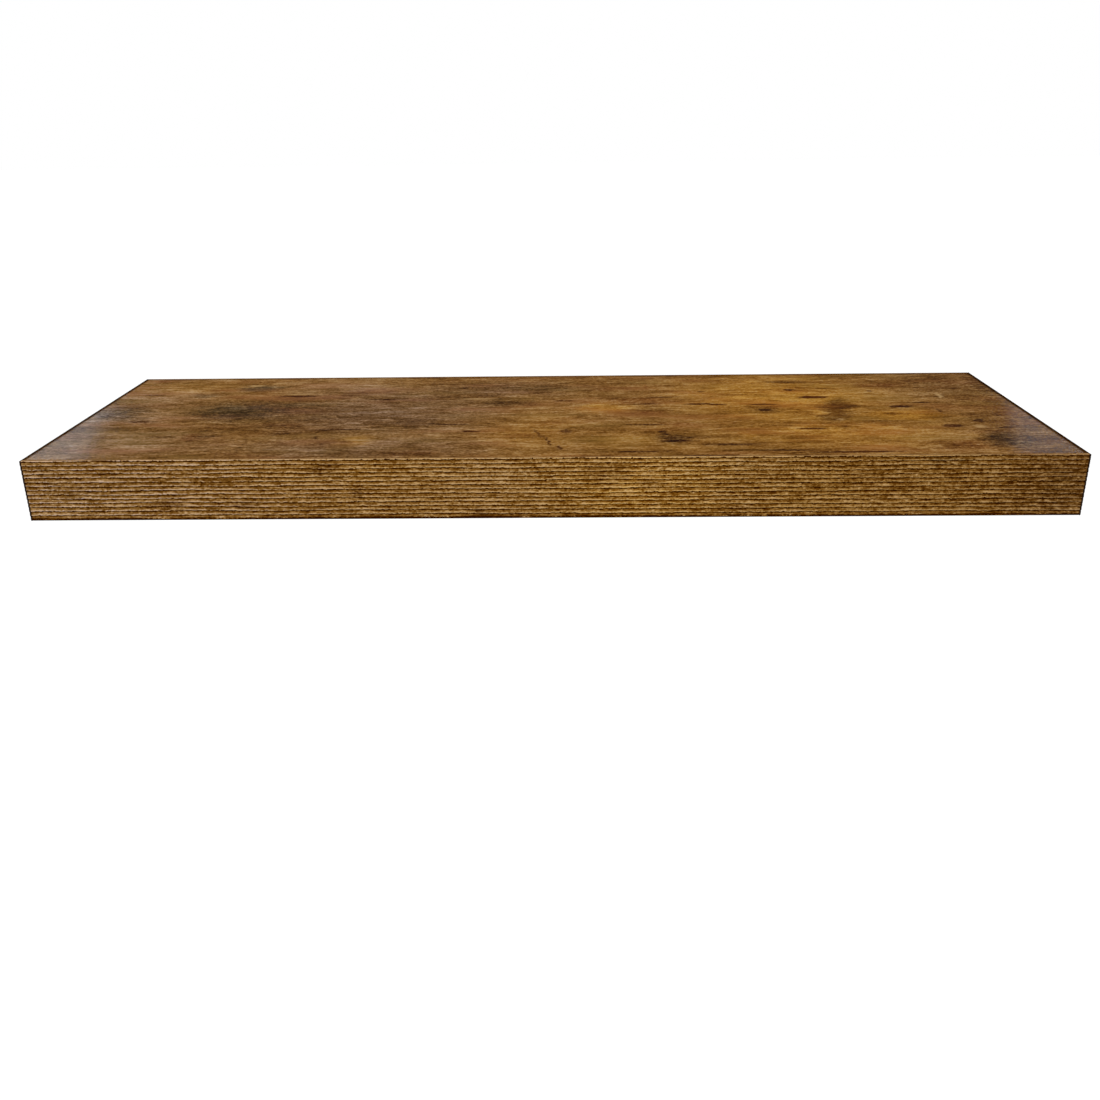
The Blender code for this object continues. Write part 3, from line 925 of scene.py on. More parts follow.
    def _grooved(self, shader: Shader, p: Value, tone: Value, fine: Value) -> bpy.types.Material:
        """The print over the level grooves, with a painted shadow in each groove over the print's
        own dark line, a painted highlight just above it, and painted shading that brightens each
        ridge downwards.

        Args:
            shader: the material.
            p: place on the print, in millimetres.
            tone: the ground's tone.
            fine: the fine grain.

        Returns:
            The material.
        """
        groove = shader.node("ShaderNodeAttribute", {"attribute_name": "groove"}, output="Vector")
        phase, strength, _ = shader.parts(groove)
        x, down, _ = shader.parts(p)
        waver = shader.noise(p, (2.0, 1.5, 1), self.seed + 14, 3, 0.65)
        moved = phase + (waver - 0.5) * 0.75
        f = moved.fraction()
        row = shader.vector(x, (moved - f) * self.row_gap, 0.0)
        chop = shader.noise(row, (1.0, 1, 1), self.seed + 15, 3, 0.65, colour=True)
        lights, darks, _ = shader.parts(chop)
        # Painted light over the print: the ridge term is painted shading that brightens each ridge
        # downwards, the next term is a painted highlight just above each groove, and the dark term
        # is a painted groove shadow over the print's own dark line.
        ridge = shader.step(f, 0.1, 0.8) - 0.4
        lip_highlight = shader.step(f, 0.58, 0.74) * shader.step(f, 0.88, 0.8)
        lip_highlight = lip_highlight * shader.step(lights, 0.35, 0.65)
        dark = shader.step(f, 0.8, 0.9).most(shader.step(f, 0.12, 0.0))
        dark = dark * shader.step(darks, 0.3, 0.56, 0.15)
        edge = shader.step(down, *self.low_rim)
        calm = shader.step(x.most(x * -1), 225, 290, 1.0, 0.88)
        # The print's lines with their painted groove shadow, highlight and ridge shading; the last
        # term darkens the print along the bottom edge.
        groove_print_and_light = (ridge * 0.46 + lip_highlight * 0.97 - dark * 1.85 + 0.17) * strength * calm - edge * 0.9
        colour = shader.ramp(
            tone - fine * 0.15 + groove_print_and_light,
            (0.0, (48, 17, 0)), (0.2, (75, 37, 0)), (0.38, (99, 60, 11)), (0.52, (119, 79, 27)),
            (0.66, (138, 98, 44)), (0.82, (161, 122, 69)), (1.0, (194, 157, 108)),
        )
        colour = self.marked(shader, p, fine - groove_print_and_light * 0.5, colour)
        return shader.finish(
            Base_Color=colour,
            Roughness=shader.step(fine, -0.3, 0.3, 0.5, 0.4),
            Specular_IOR_Level=0.0,
            Normal=shader.bump(fine, 0.00012),
        )


@dataclass(frozen=True)
class CutEdge:
    """The raw or painted cut edge of a thin sheet, with fine level layers."""

    name: str
    light: Colour
    dark: Colour

    def build(self) -> bpy.types.Material:
        """Makes the layers and their fuzz.

        Returns:
            The material.
        """
        shader = Shader(self.name)
        place = shader.place()
        layers = shader.noise(place, (0.012, 0.012, 0.0005), 3, 3, 0.6)
        fuzz = shader.noise(place, (0.0009, 0.0009, 0.0007), 5, 3, 0.65)
        tone = layers * 0.6 + fuzz * 0.4
        colour = shader.mix(shader.step(tone, 0.35, 0.65), srgb(*self.dark), srgb(*self.light))
        return shader.finish(
            Base_Color=colour,
            Roughness=shader.step(fuzz, 0.3, 0.7, 0.7, 0.9),
            Specular_IOR_Level=0.0,
            Normal=shader.bump(tone, 0.0001),
        )


@dataclass(frozen=True)
class Chipboard:
    """Pressed wood chips: light flakes of different browns with dark gaps."""

    name: str = "chipboard"

    def build(self) -> bpy.types.Material:
        """Makes the chips, the gaps and the dust between them.

        Returns:
            The material.
        """
        shader = Shader(self.name)
        place = shader.place()
        bend = shader.noise(place, (0.01, 0.01, 0.01), 1, 2, colour=True)
        bent = shader.shift(place, bend, (0.006, 0.006, 0.006))
        stretched = shader.node(
            "ShaderNodeMapping", None, {"Vector": bent, "Scale": (260, 520, 700)}
        )
        kind, inputs = "ShaderNodeTexVoronoi", {"Vector": stretched, "Scale": 1.0}
        flakes = shader.node(kind, None, inputs, output="Color")
        shadow = shader.node(kind, {"feature": "DISTANCE_TO_EDGE"}, inputs)
        grade, _, sort = shader.parts(flakes)
        dust = shader.noise(place, (0.0008, 0.0008, 0.0008), 4, 3, 0.6)
        tone = grade * 0.7 + dust * 0.5 - 0.1
        colour = shader.ramp(
            tone,
            (0.0, (128, 92, 54)), (0.35, (166, 130, 86)), (0.65, (192, 158, 112)),
            (1.0, (216, 186, 142)),
        )
        colour = shader.mix(shader.step(sort, 0.88, 0.95, 0, 0.6), colour, srgb(104, 68, 38))
        colour = shader.mix(shader.step(shadow, 0.09, 0.0, 0, 0.55), colour, srgb(92, 62, 34))
        return shader.finish(
            Base_Color=colour,
            Roughness=0.85,
            Specular_IOR_Level=0.1,
            Normal=shader.bump(grade + dust * 0.6, 0.00025),
        )


@dataclass(frozen=True)
class KraftPaper:
    """Brown kraft paper with a faint mottle and fibres."""

    name: str = "kraft_paper"

    def build(self) -> bpy.types.Material:
        """Makes the mottle and the fibres.

        Returns:
            The material.
        """
        shader = Shader(self.name)
        place = shader.place()
        mottle = shader.noise(place, (0.006, 0.006, 0.006), 2, 3, 0.6)
        fibres = shader.noise(place, (0.0004, 0.0004, 0.004), 6, 2, 0.6)
        tone = mottle * 0.5 + fibres * 0.5
        colour = shader.mix(shader.step(tone, 0.35, 0.65), srgb(142, 106, 68), srgb(184, 148, 104))
        return shader.finish(
            Base_Color=colour,
            Roughness=0.9,
            Specular_IOR_Level=0.08,
            Normal=shader.bump(fibres, 0.00006),
        )


@dataclass(frozen=True)
class Metal:
    """A metal or painted metal surface with a fine relief, faint stains and worn spots."""

    name: str
    colour: Colour
    stain: Colour
    rough: tuple[float, float]
    grain: Place
    metallic: float = 1.0
    relief: float = 0.00001
    gloss: float = 0.5

    def build(self) -> bpy.types.Material:
        """Makes the surface.

        Returns:
            The material.
        """
        shader = Shader(self.name)
        place = shader.place()
        cloud = shader.noise(place, (0.014, 0.014, 0.014), 2, 3, 0.6)
        skin = shader.noise(place, self.grain, 4, 2, 0.55)
        clean = shader.step(cloud * 0.6 + skin * 0.4, 0.38, 0.62)
        colour = shader.mix(clean, srgb(*self.stain), srgb(*self.colour))
        low, high = self.rough
        return shader.finish(
            Base_Color=colour,
            Metallic=self.metallic,
            Roughness=shader.step(skin * 0.5 + cloud * 0.5, 0.35, 0.65, low, high),
            Specular_IOR_Level=self.gloss,
            Normal=shader.bump(skin, self.relief),
        )


@dataclass(frozen=True)
class Nylon:
    """Grey moulded nylon, slightly mottled, with a soft sheen."""

    name: str = "grey_nylon"

    def build(self) -> bpy.types.Material:
        """Makes the mottle and the skin.

        Returns:
            The material.
        """
        shader = Shader(self.name)
        place = shader.place()
        cloud = shader.noise(place, (0.009, 0.004, 0.009), 3, 3, 0.55)
        skin = shader.noise(place, (0.0005, 0.0005, 0.0005), 5, 2, 0.5)
        tone = shader.step(cloud * 0.7 + skin * 0.3, 0.35, 0.65)
        colour = shader.mix(tone, srgb(146, 148, 148), srgb(176, 177, 175))
        return shader.finish(
            Base_Color=colour,
            Roughness=shader.step(skin, 0.3, 0.7, 0.38, 0.5),
            Specular_IOR_Level=0.4,
            Normal=shader.bump(skin, 0.00003),
        )


# ---------------------------------------------------------------- the shelf


def carry(obj: bpy.types.Object, body: str, node: str) -> None:
    """Makes a finished piece ride on its body, in place of its solid.

    Args:
        obj: the piece.
        body: the body that it moves with.
        node: the solid that it stands for.
    """
    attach(obj, body)
    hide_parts(node)
    log.info("%s: %d faces, rides on %s", obj.name, len(obj.data.polygons), body)


def dress(obj: bpy.types.Object, *coats: tuple[bpy.types.Material, Test | None]) -> None:
    """Gives a piece its materials.

    Args:
        obj: the piece.
        coats: materials, each with a test of a face's middle and normal; a later one wins.
    """
    obj.data.materials.clear()
    for index, (material, test) in enumerate(coats):
        obj.data.materials.append(material)
        for face in obj.data.polygons:
            if test is None or test(face.center, face.normal):
                face.material_index = index


@dataclass(frozen=True)
class Finishes:
    """Every material of the shelf, made once."""

    top: bpy.types.Material
    underside: bpy.types.Material
    front: bpy.types.Material
    ends: bpy.types.Material
    band_edge: bpy.types.Material
    end_edge: bpy.types.Material
    hardboard: bpy.types.Material
    chipboard: bpy.types.Material
    paper: bpy.types.Material
    black: bpy.types.Material
    dark_steel: bpy.types.Material
    zinc: bpy.types.Material
    brass: bpy.types.Material
    nylon: bpy.types.Material

    @classmethod
    def build(cls) -> "Finishes":
        """Makes the materials.

        Returns:
            All of them.
        """
        return cls(
            top=WoodPrint("wood_print_top", TOP_MARKS).build(),
            underside=WoodPrint("wood_print_underside", UNDERSIDE_MARKS, 40).build(),
            front=WoodPrint(
                "grooved_print_front", FRONT_MARKS, 80, grooved=True, patchy=0.26
            ).build(),
            ends=WoodPrint(
                "grooved_print_ends", {}, 120, grooved=True, ends=True, patchy=0.6
            ).build(),
            band_edge=CutEdge("band_cut_edge", (152, 118, 78), (112, 80, 42)).build(),
            end_edge=CutEdge("end_cut_edge", (56, 38, 27), (34, 22, 16)).build(),
            hardboard=CutEdge("hardboard", (134, 96, 64), (92, 62, 40)).build(),
            chipboard=Chipboard().build(),
            paper=KraftPaper().build(),
            black=Metal(
                "black_powder_coat",
                colour=(26, 26, 27),
                stain=(36, 35, 35),
                rough=(0.42, 0.55),
                grain=(0.0007,) * 3,
                metallic=0.0,
                relief=0.00005,
                gloss=0.12,
            ).build(),
            dark_steel=Metal(
                "blackened_steel",
                colour=(62, 60, 60),
                stain=(36, 35, 38),
                rough=(0.3, 0.45),
                grain=(0.0004,) * 3,
                metallic=0.9,
            ).build(),
            zinc=Metal(
                "zinc_steel",
                colour=(196, 198, 196),
                stain=(160, 166, 174),
                rough=(0.24, 0.4),
                grain=(0.0006,) * 3,
            ).build(),
            brass=Metal(
                "brass",
                colour=(206, 168, 92),
                stain=(164, 124, 62),
                rough=(0.24, 0.38),
                grain=(0.002, 0.002, 0.0002),
            ).build(),
            nylon=Nylon().build(),
        )


@dataclass(frozen=True)
class Grooves:
    """The fine level grooves of a lipping, whose ridges lean out downwards. In millimetres."""

    depth: float
    arris: float
    seed: float
    pitch: float = 2.49
    start: float = 0.7
    slope: float = 0.84

    def phase(self, along: float, down: float) -> float:
        """How many grooves lie above a place, with the slight wander of each line.

        Args:
            along: the place along the grooves.
            down: the place below the lipping's top edge.

        Returns:
            The number, with the part of the last one.
        """
        slow = noise.noise(Vector((along / 46, down / 6, self.seed)))
        quick = noise.noise(Vector((along / 12, down / 3, self.seed + 9)))
        return self.start + down / self.pitch + 0.22 * slow + 0.1 * quick

    def strength(self, along: float, row: int) -> float:
        """How strong one groove is at a place along it.

        Args:
            along: the place along the groove.
            row: the groove's number from the top.

        Returns:
            Its share of the full depth, from 0 to 1.
        """
        slow = noise.noise(Vector((along / 28, row * 5.3, self.seed + 21)))
        quick = noise.noise(Vector((along / 6, row * 3.7, self.seed + 33)))
        least = 0.85 if row < 1 else 0.1
        return min(1.0, max(least, 0.7 + 0.55 * slow + 0.35 * quick))

    def inward(self, part: float, strength: float, border: float) -> float:
        """How far the face lies inwards.

        Args:
            part: the place between one groove and the next, from 0 to 1.
            strength: the groove's strength.
            border: the distance to the lipping's nearest long edge.

        Returns:
            The depth.
        """
        if part < self.slope:
            step = 1 - part / self.slope
            profile = step * step
        else:
            profile = (part - self.slope) / (1 - self.slope)
        hollow = profile * self.depth * strength * min(1.0, max(0.0, border - self.arris * 0.5))
        lost = max(0.0, 1 - border / self.arris)
        return hollow + self.arris * (1 - math.sqrt(max(0.0, 1 - lost * lost)))


@dataclass
class Lipping:
    """A lipping with a grooved face, made from a fine grid, in metres.

    Its grooves run along one axis and it faces out on the other, where 0 is x and 1 is y.
    """

    name: str
    heading: Heading
    middle: Place
    length: float
    height: float
    thickness: float
    cells: tuple[int, int]
    grooves: Grooves
    along: int
    out: int
    levels: int = 500

    def build(self) -> bpy.types.Object:
        """Presses the grooves into the grid, and extrudes its rim back and closes it.

        Returns:
            The closed lipping.
        """
        pick()
        bpy.ops.mesh.primitive_grid_add(
            x_subdivisions=self.cells[0],
            y_subdivisions=self.cells[1],
            size=1,
            location=self.middle,
            rotation=self.heading.value,
        )
        obj = adopt(self.name, (self.length, self.height, 1))
        self._press(obj)
        face = self.middle[self.out]
        back = face - math.copysign(self.thickness, face)
        flat = [1.0, 1.0, 1.0]
        flat[self.out] = 0.0
        plane = [0.0, 0.0, 0.0]
        plane[self.out] = back
        with editing(obj, Element.EDGE, lambda c, d: False):
            bpy.ops.mesh.select_non_manifold()
            bpy.ops.mesh.extrude_edges_move(TRANSFORM_OT_translate={"value": (0, 0, 0)})
            bpy.ops.transform.resize(value=flat, center_override=plane)
            bpy.ops.mesh.edge_face_add()
            face_outwards()
        shade(obj, 40)
        return obj

    def _press(self, obj: bpy.types.Object) -> None:
        """Presses the grooves in, and keeps each point's groove and its strength for the print and
        its painted groove shadow and highlight.

        Args:
            obj: the grid.
        """
        mesh = obj.data
        grooves = self.grooves
        top = self.middle[2] + self.height / 2
        group = obj.vertex_groups.new(name="pressed")
        values = []
        deepest = grooves.depth + grooves.arris
        levels: dict[int, list[int]] = {}
        for point in mesh.vertices:
            along = point.co[self.along] / MM
            down = (top - point.co.z) / MM
            phase = grooves.phase(along, down)
            row = math.floor(phase)
            strength = grooves.strength(along, row)
            border = min(down, self.height / MM - down)
            depth = grooves.inward(phase - row, strength, border)
            levels.setdefault(round(depth / deepest * self.levels), []).append(point.index)
            values.extend((phase, strength, 0.0))
        for level, points in levels.items():
            group.add(points, level / self.levels, "REPLACE")
        kept = mesh.attributes.new("groove", "FLOAT_VECTOR", "POINT")
        kept.data.foreach_set("vector", values)
        apply_modifier(
            obj,
            "DISPLACE",
            vertex_group="pressed",
            mid_level=0.0,
            strength=-deepest * MM,
            direction="NORMAL",
        )
        obj.vertex_groups.clear()


@dataclass
class Board:
    """The hollow board: two printed sheets, grooved lippings and a chipboard frame."""

    finishes: Finishes
    half_length: float = 0.300
    front: float = -0.200
    back: float = -0.0005
    half_thickness: float = 0.018
    sheet: float = 0.003
    band: float = 0.002
    end_band: float = 0.0008
    end_face: float = 0.00045
    glue: float = 0.0002
    sheet_arris: float = 0.00025
    lock_x: float = 0.200
    lock_y: float = -0.024
    hole_radius: float = 0.0038
    hole_arris: float = 0.0003
    rod_bore: float = 0.0063
    rail_back: float = -0.009
    rail_front: float = -0.039
    pocket_end: float = 0.2788

    def build(self) -> None:
        """Makes and dresses the board's pieces."""
        self.sheets()
        self.lippings()
        self.rear_rail()
        self.frame_inside()

    def sheets(self) -> None:
        """The two printed sheets, the lower one with its two holes for the set screws."""
        half = self.half_thickness
        inner = half - self.sheet
        finishes = self.finishes
        top = self._sheet("top_sheet", inner, half)
        shade(top, 10)
        dress(top, (finishes.hardboard, None), (finishes.top, lambda c, n: n.z > 0.3))
        carry(top, "shelf", "top_skin")

        low = self._sheet("bottom_sheet", -half, -inner)
        for x in (-self.lock_x, self.lock_x):
            rings = [(-0.005, self.hole_radius), (0.005, self.hole_radius)]
            cut(low, turned("hole", rings, 64, (x, self.lock_y, -half)))
        with editing(low, Element.EDGE, self._on_hole_rim):
            bpy.ops.mesh.bevel(offset=self.hole_arris, segments=2)
        shade(low, 10)
        dress(low, (finishes.hardboard, None), (finishes.underside, lambda c, n: n.z < -0.3))
        carry(low, "shelf", "bottom_skin")

    def _sheet(self, name: str, bottom: float, top: float) -> bpy.types.Object:
        """A sheet whose printed face has a softened edge.

        Args:
            name: the sheet's name.
            bottom: the height of its lower face.
            top: the height of its upper face.

        Returns:
            The sheet.
        """
        end = self.half_length - self.end_band - self.glue
        near = self.front + self.band + self.glue
        sheet = block(name, (-end, near, bottom), (end, self.back, top))
        printed = self.half_thickness - HAIR
        with editing(sheet, Element.EDGE, lambda c, d: abs(c.z) > printed):
            bpy.ops.mesh.bevel(offset=self.sheet_arris, segments=2)
        return sheet

    def _on_hole_rim(self, middle: Vector, direction: Vector) -> bool:
        """Whether an edge lies on the lower rim of a hole for a set screw."""
        radius = math.hypot(abs(middle.x) - self.lock_x, middle.y - self.lock_y)
        return middle.z < HAIR - self.half_thickness and abs(radius - self.hole_radius) < 2e-5

    def lippings(self) -> None:
        """The front lipping and the two thin ones on the ends."""
        finishes = self.finishes
        height = 2 * self.half_thickness
        band = Lipping(
            "front_lipping",
            Heading.TO_ROOM,
            middle=(0, self.front, 0),
            length=2 * (self.half_length - self.end_band - self.glue),
            height=height,
            thickness=self.band,
            cells=(800, 114),
            grooves=Grooves(depth=0.45, arris=0.35, seed=3.0),
            along=0,
            out=1,
        ).build()
        behind = self.front + 0.4 * self.band
        dress(band, (finishes.front, None), (finishes.band_edge, lambda c, n: c.y > behind))
        carry(band, "shelf", "front_edge_band")
        within = self.half_length - self.end_face
        for side, sign, heading in (
            ("left", -1, Heading.TO_LEFT),
            ("right", 1, Heading.TO_RIGHT),
        ):
            lipping = Lipping(
                f"{side}_lipping",
                heading,
                middle=(sign * self.half_length, (self.front + self.back) / 2, 0),
                length=self.back - self.front,
                height=height,
                thickness=self.end_band,
                cells=(264, 100),
                grooves=Grooves(depth=0.28, arris=0.3, seed=50.0 + sign * 7),
                along=1,
                out=0,
            ).build()
            dress(
                lipping,
                (finishes.ends, None),
                (finishes.end_edge, lambda c, n: abs(c.x) < within or abs(n.x) < 0.3),
            )
            carry(lipping, "shelf", f"{side}_edge_band")

    def rear_rail(self) -> None:
        """The rail in front of the bracket, bored for the rods and from below for the inserts."""
        core = self.half_thickness - self.sheet - self.glue
        low = (-self.pocket_end, self.rail_front, -core)
        rail = block("bored_rear_rail", low, (self.pocket_end, self.rail_back, core))
        over = 0.002
        through = self.rail_back - self.rail_front + 2 * over
        bore = [(0, self.rod_bore), (through, self.rod_bore)]
        flange, barrel, screw = 0.0062, 0.0050, 0.0033
        seat = [
            (-over, flange), (0.0015, flange), (0.0015, barrel),
            (0.0076, barrel), (0.0076, screw), (core, screw),
        ]
        for x in (-self.lock_x, self.lock_x):
            cut(rail, turned("bore", bore, 64, (x, self.rail_back + over, 0), Heading.TO_ROOM))
            cut(rail, turned("seat", seat, 48, (x, self.lock_y, -core)))
        soften(rail, 0.0003, angle=50)
        dress(rail, (self.finishes.chipboard, None))
        carry(rail, "shelf", "rear_rail")

    def frame_inside(self) -> None:
        """The inner frame and the paper core keep their solids and get their finishes."""
        recoat("front_rail", self.finishes.chipboard)
        for side in ("left", "right"):
            recoat(f"{side}_end_rail", self.finishes.chipboard)
            recoat(f"rod_block_{side}", self.finishes.chipboard)
        for pocket in ("left", "centre", "right"):
            recoat(f"honeycomb_{pocket}", self.finishes.paper)


def recoat(name: str, material: bpy.types.Material) -> None:
    """Gives a solid that stays its finish.

    Args:
        name: the solid's node.
        material: the finish.
    """
    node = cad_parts[name]
    if not node.material_slots:
        node.data.materials.append(material)
    for slot in node.material_slots:
        slot.link = "OBJECT"
        slot.material = material
    log.info("%s keeps its solid", name)


@dataclass
class Bracket:
    """The steel bracket: a flat bar with four slots and two welded rods."""

    finishes: Finishes
    half_length: float = 0.250
    half_height: float = 0.0125
    thickness: float = 0.003
    corner: float = 0.004
    slot_width: float = 0.0055
    slot_travel: float = 0.005
    slot_places: tuple[float, ...] = (-0.232, -0.090, 0.090, 0.232)
    rod_x: float = 0.200
    rod_radius: float = 0.006
    rod_end: float = 0.1325
    bead: float = 0.00012

    def build(self) -> None:
        """Makes and dresses the bracket's pieces."""
        self.plate()
        for side, sign in (("left", -1), ("right", 1)):
            self.rod(side, sign)

    def plate(self) -> None:
        """The slotted bar with round corners."""
        plate = block(
            "slotted_wall_plate",
            (-self.half_length, -self.thickness, -self.half_height),
            (self.half_length, 0, self.half_height),
        )
        with editing(plate, Element.EDGE, lambda c, d: abs(d.y) > 0.9):
            bpy.ops.mesh.bevel(offset=self.corner, segments=8)
        for x in self.slot_places:
            cut(plate, self._slot(x))
        soften(plate, 0.00035, angle=40)
        dress(plate, (self.finishes.black, None))
        carry(plate, "bracket", "wall_plate")

    def _slot(self, x: float) -> bpy.types.Object:
        """The cutter of one level slot: a drum pulled apart at its middle.

        Args:
            x: the slot's middle.

        Returns:
            The cutter.
        """
        rings = [(-0.004, self.slot_width / 2), (0.004, self.slot_width / 2)]
        cutter = turned("slot", rings, 48, (x, -self.thickness / 2, 0), Heading.TO_WALL)
        half = self.slot_travel / 2
        for sign in (-1, 1):
            with editing(cutter, Element.POINT, lambda c, n: (c.x - x) * sign > 1e-5):
                bpy.ops.transform.translate(value=(sign * half, 0, 0))
        return cutter

    def rod(self, side: str, sign: int) -> None:
        """One rod with a chamfered tip and its weld bead on the bar.

        Args:
            side: the rod's side, for its name.
            sign: -1 on the left and 1 on the right.
        """
        r = self.rod_radius
        end = self.rod_end
        rings = [
            (0.0003, r + 0.0021), (0.0006, r + 0.0021), (0.0011, r + 0.0016),
            (0.0016, r + 0.0010), (0.0021, r + 0.0004), (0.0025, r + 0.0001),
            (0.0028, r), (0.040, r), (0.090, r),
            (end - 0.0016, r), (end - 0.0012, r - 0.0002), (end, r - 0.0015),
        ]
        foot = (sign * self.rod_x, -self.thickness, 0)
        rod = turned(f"welded_rod_{side}", rings, 64, foot, Heading.TO_ROOM)
        for point in rod.data.vertices:
            out = -point.co.y - self.thickness
            if 0.0004 < out < 0.0024:
                x = point.co.x - sign * self.rod_x
                turn = math.atan2(point.co.z, x)
                ripple = self.bead * math.sin(22 * turn + 3 * math.sin(2 * turn + sign))
                length = math.hypot(x, point.co.z)
                point.co.x += x / length * ripple
                point.co.z += point.co.z / length * ripple
        shade(rod, 40)
        dress(rod, (self.finishes.black, None))
        carry(rod, "bracket", f"support_rod_{side}")


@dataclass
class WallFixings:
    """The four pan-head wood screws and their nylon plugs."""

    finishes: Finishes
    seat: float = -0.0033
    head_radius: float = 0.00475
    head_height: float = 0.003
    core: float = 0.0016
    crest: float = 0.00225
    length: float = 0.0403
    plug_start: float = 0.0003
    plug_length: float = 0.036
    plug_radius: float = 0.004
    plug_bore: float = 0.00255
    slit: float = 0.0008
    ribs: int = 5
    places: dict[str, float] = field(
        default_factory=lambda: {
            "outer_left": -0.232,
            "inner_left": -0.090,
            "inner_right": 0.090,
            "outer_right": 0.232,
        }
    )

    def build(self) -> None:
        """Models one screw and one plug, and sets a copy in each place."""
        screw, plug = self.screw(), self.plug()
        for place, x in self.places.items():
            twin = copied(screw, f"pan_head_screw_{place}", (x, 0, 0))
            carry(twin, "bracket", f"wall_screw_{place}")
            twin = copied(plug, f"nylon_plug_{place}", (x, 0, 0))
            carry(twin, "bracket", f"wall_plug_{place}")
        discard(screw, plug)

    def screw(self) -> bpy.types.Object:
        """The screw in the middle of the bar: a domed head, a cross recess and a threaded shank.

        Returns:
            The screw.
        """
        r, h = self.head_radius, self.head_height
        length, core, neck = self.length, self.core, self.crest * 0.93
        rings = [
            (-length, 0.0001), (0.0022 - length, core * 0.62), (0.0045 - length, core),
            (-0.0075, core), (-0.0070, neck), (-0.0006, neck),
            (0.0, self.crest * 1.08), (0.0, r - 0.0002), (0.0002, r),
            (h * 0.34, r), (h * 0.55, r * 0.965), (h * 0.74, r * 0.87),
            (h * 0.88, r * 0.7), (h * 0.96, r * 0.46), (h, r * 0.15),
        ]
        screw = turned("screw", rings, 32)
        cut(screw, *(self._blade(turn, h) for turn in (0.0, math.pi / 2)))
        start = 0.0015 - length
        thread = helix("thread", core, self.crest, pitch=0.0021, start=start, turns=15, steps=20)
        add_thread(screw, thread)
        put(screw, Heading.TO_ROOM, (0, self.seat, 0))
        dress(screw, (self.finishes.zinc, None))
        return screw

    @staticmethod
    def _blade(turn: float, height: float) -> bpy.types.Object:
        """One tapered wing of the cross recess's cutter.

        Args:
            turn: how far the wing is turned round the screw.
            height: the height of the head.

        Returns:
            The wing.
        """
        x, y = 0.0026, 0.00052
        blade = block("blade", (-x, -y, height - 0.0018), (x, y, height + 0.002))
        with editing(blade, Element.FACE, lambda c, n: n.z < -0.9):
            bpy.ops.transform.resize(value=(0.42, 0.7, 1), center_override=(0, 0, 0))
        blade.rotation_euler = (0, 0, turn)
        return settle(blade)

    def plug(self) -> bpy.types.Object:
        """The plug in the middle of the bar: a collar, barbed ribs and a level slit.

        Returns:
            The plug.
        """
        outer, length = self.plug_radius, self.plug_length
        rings = [(0, 0.0045), (0.0002, 0.0047), (0.0008, 0.0047), (0.001, 0.0045), (0.001, outer)]
        zone = length * 0.55
        pitch = zone / self.ribs
        first = length - zone
        rings += [(first - 0.004, outer)]
        low = outer - 0.0006
        for i in range(self.ribs):
            at = first + i * pitch
            rings += [(at, outer), (at + pitch * 0.86, low), (at + pitch * 0.94, low)]
        rings += [(length - 0.0002, outer - 0.0009), (length, outer - 0.0012)]
        plug = turned("plug", rings, 48)
        bore = [(-0.001, self.plug_bore), (length + 0.001, self.plug_bore)]
        half = self.slit / 2
        slit = block("slit", (-0.006, -half, first + 0.001), (0.006, half, length - pitch * 0.4))
        cut(plug, turned("bore", bore, 40), slit)
        soften(plug, 0.00012, segments=1, angle=40)
        put(plug, Heading.TO_WALL, (0, self.plug_start, 0))
        dress(plug, (self.finishes.nylon, None))
        return plug


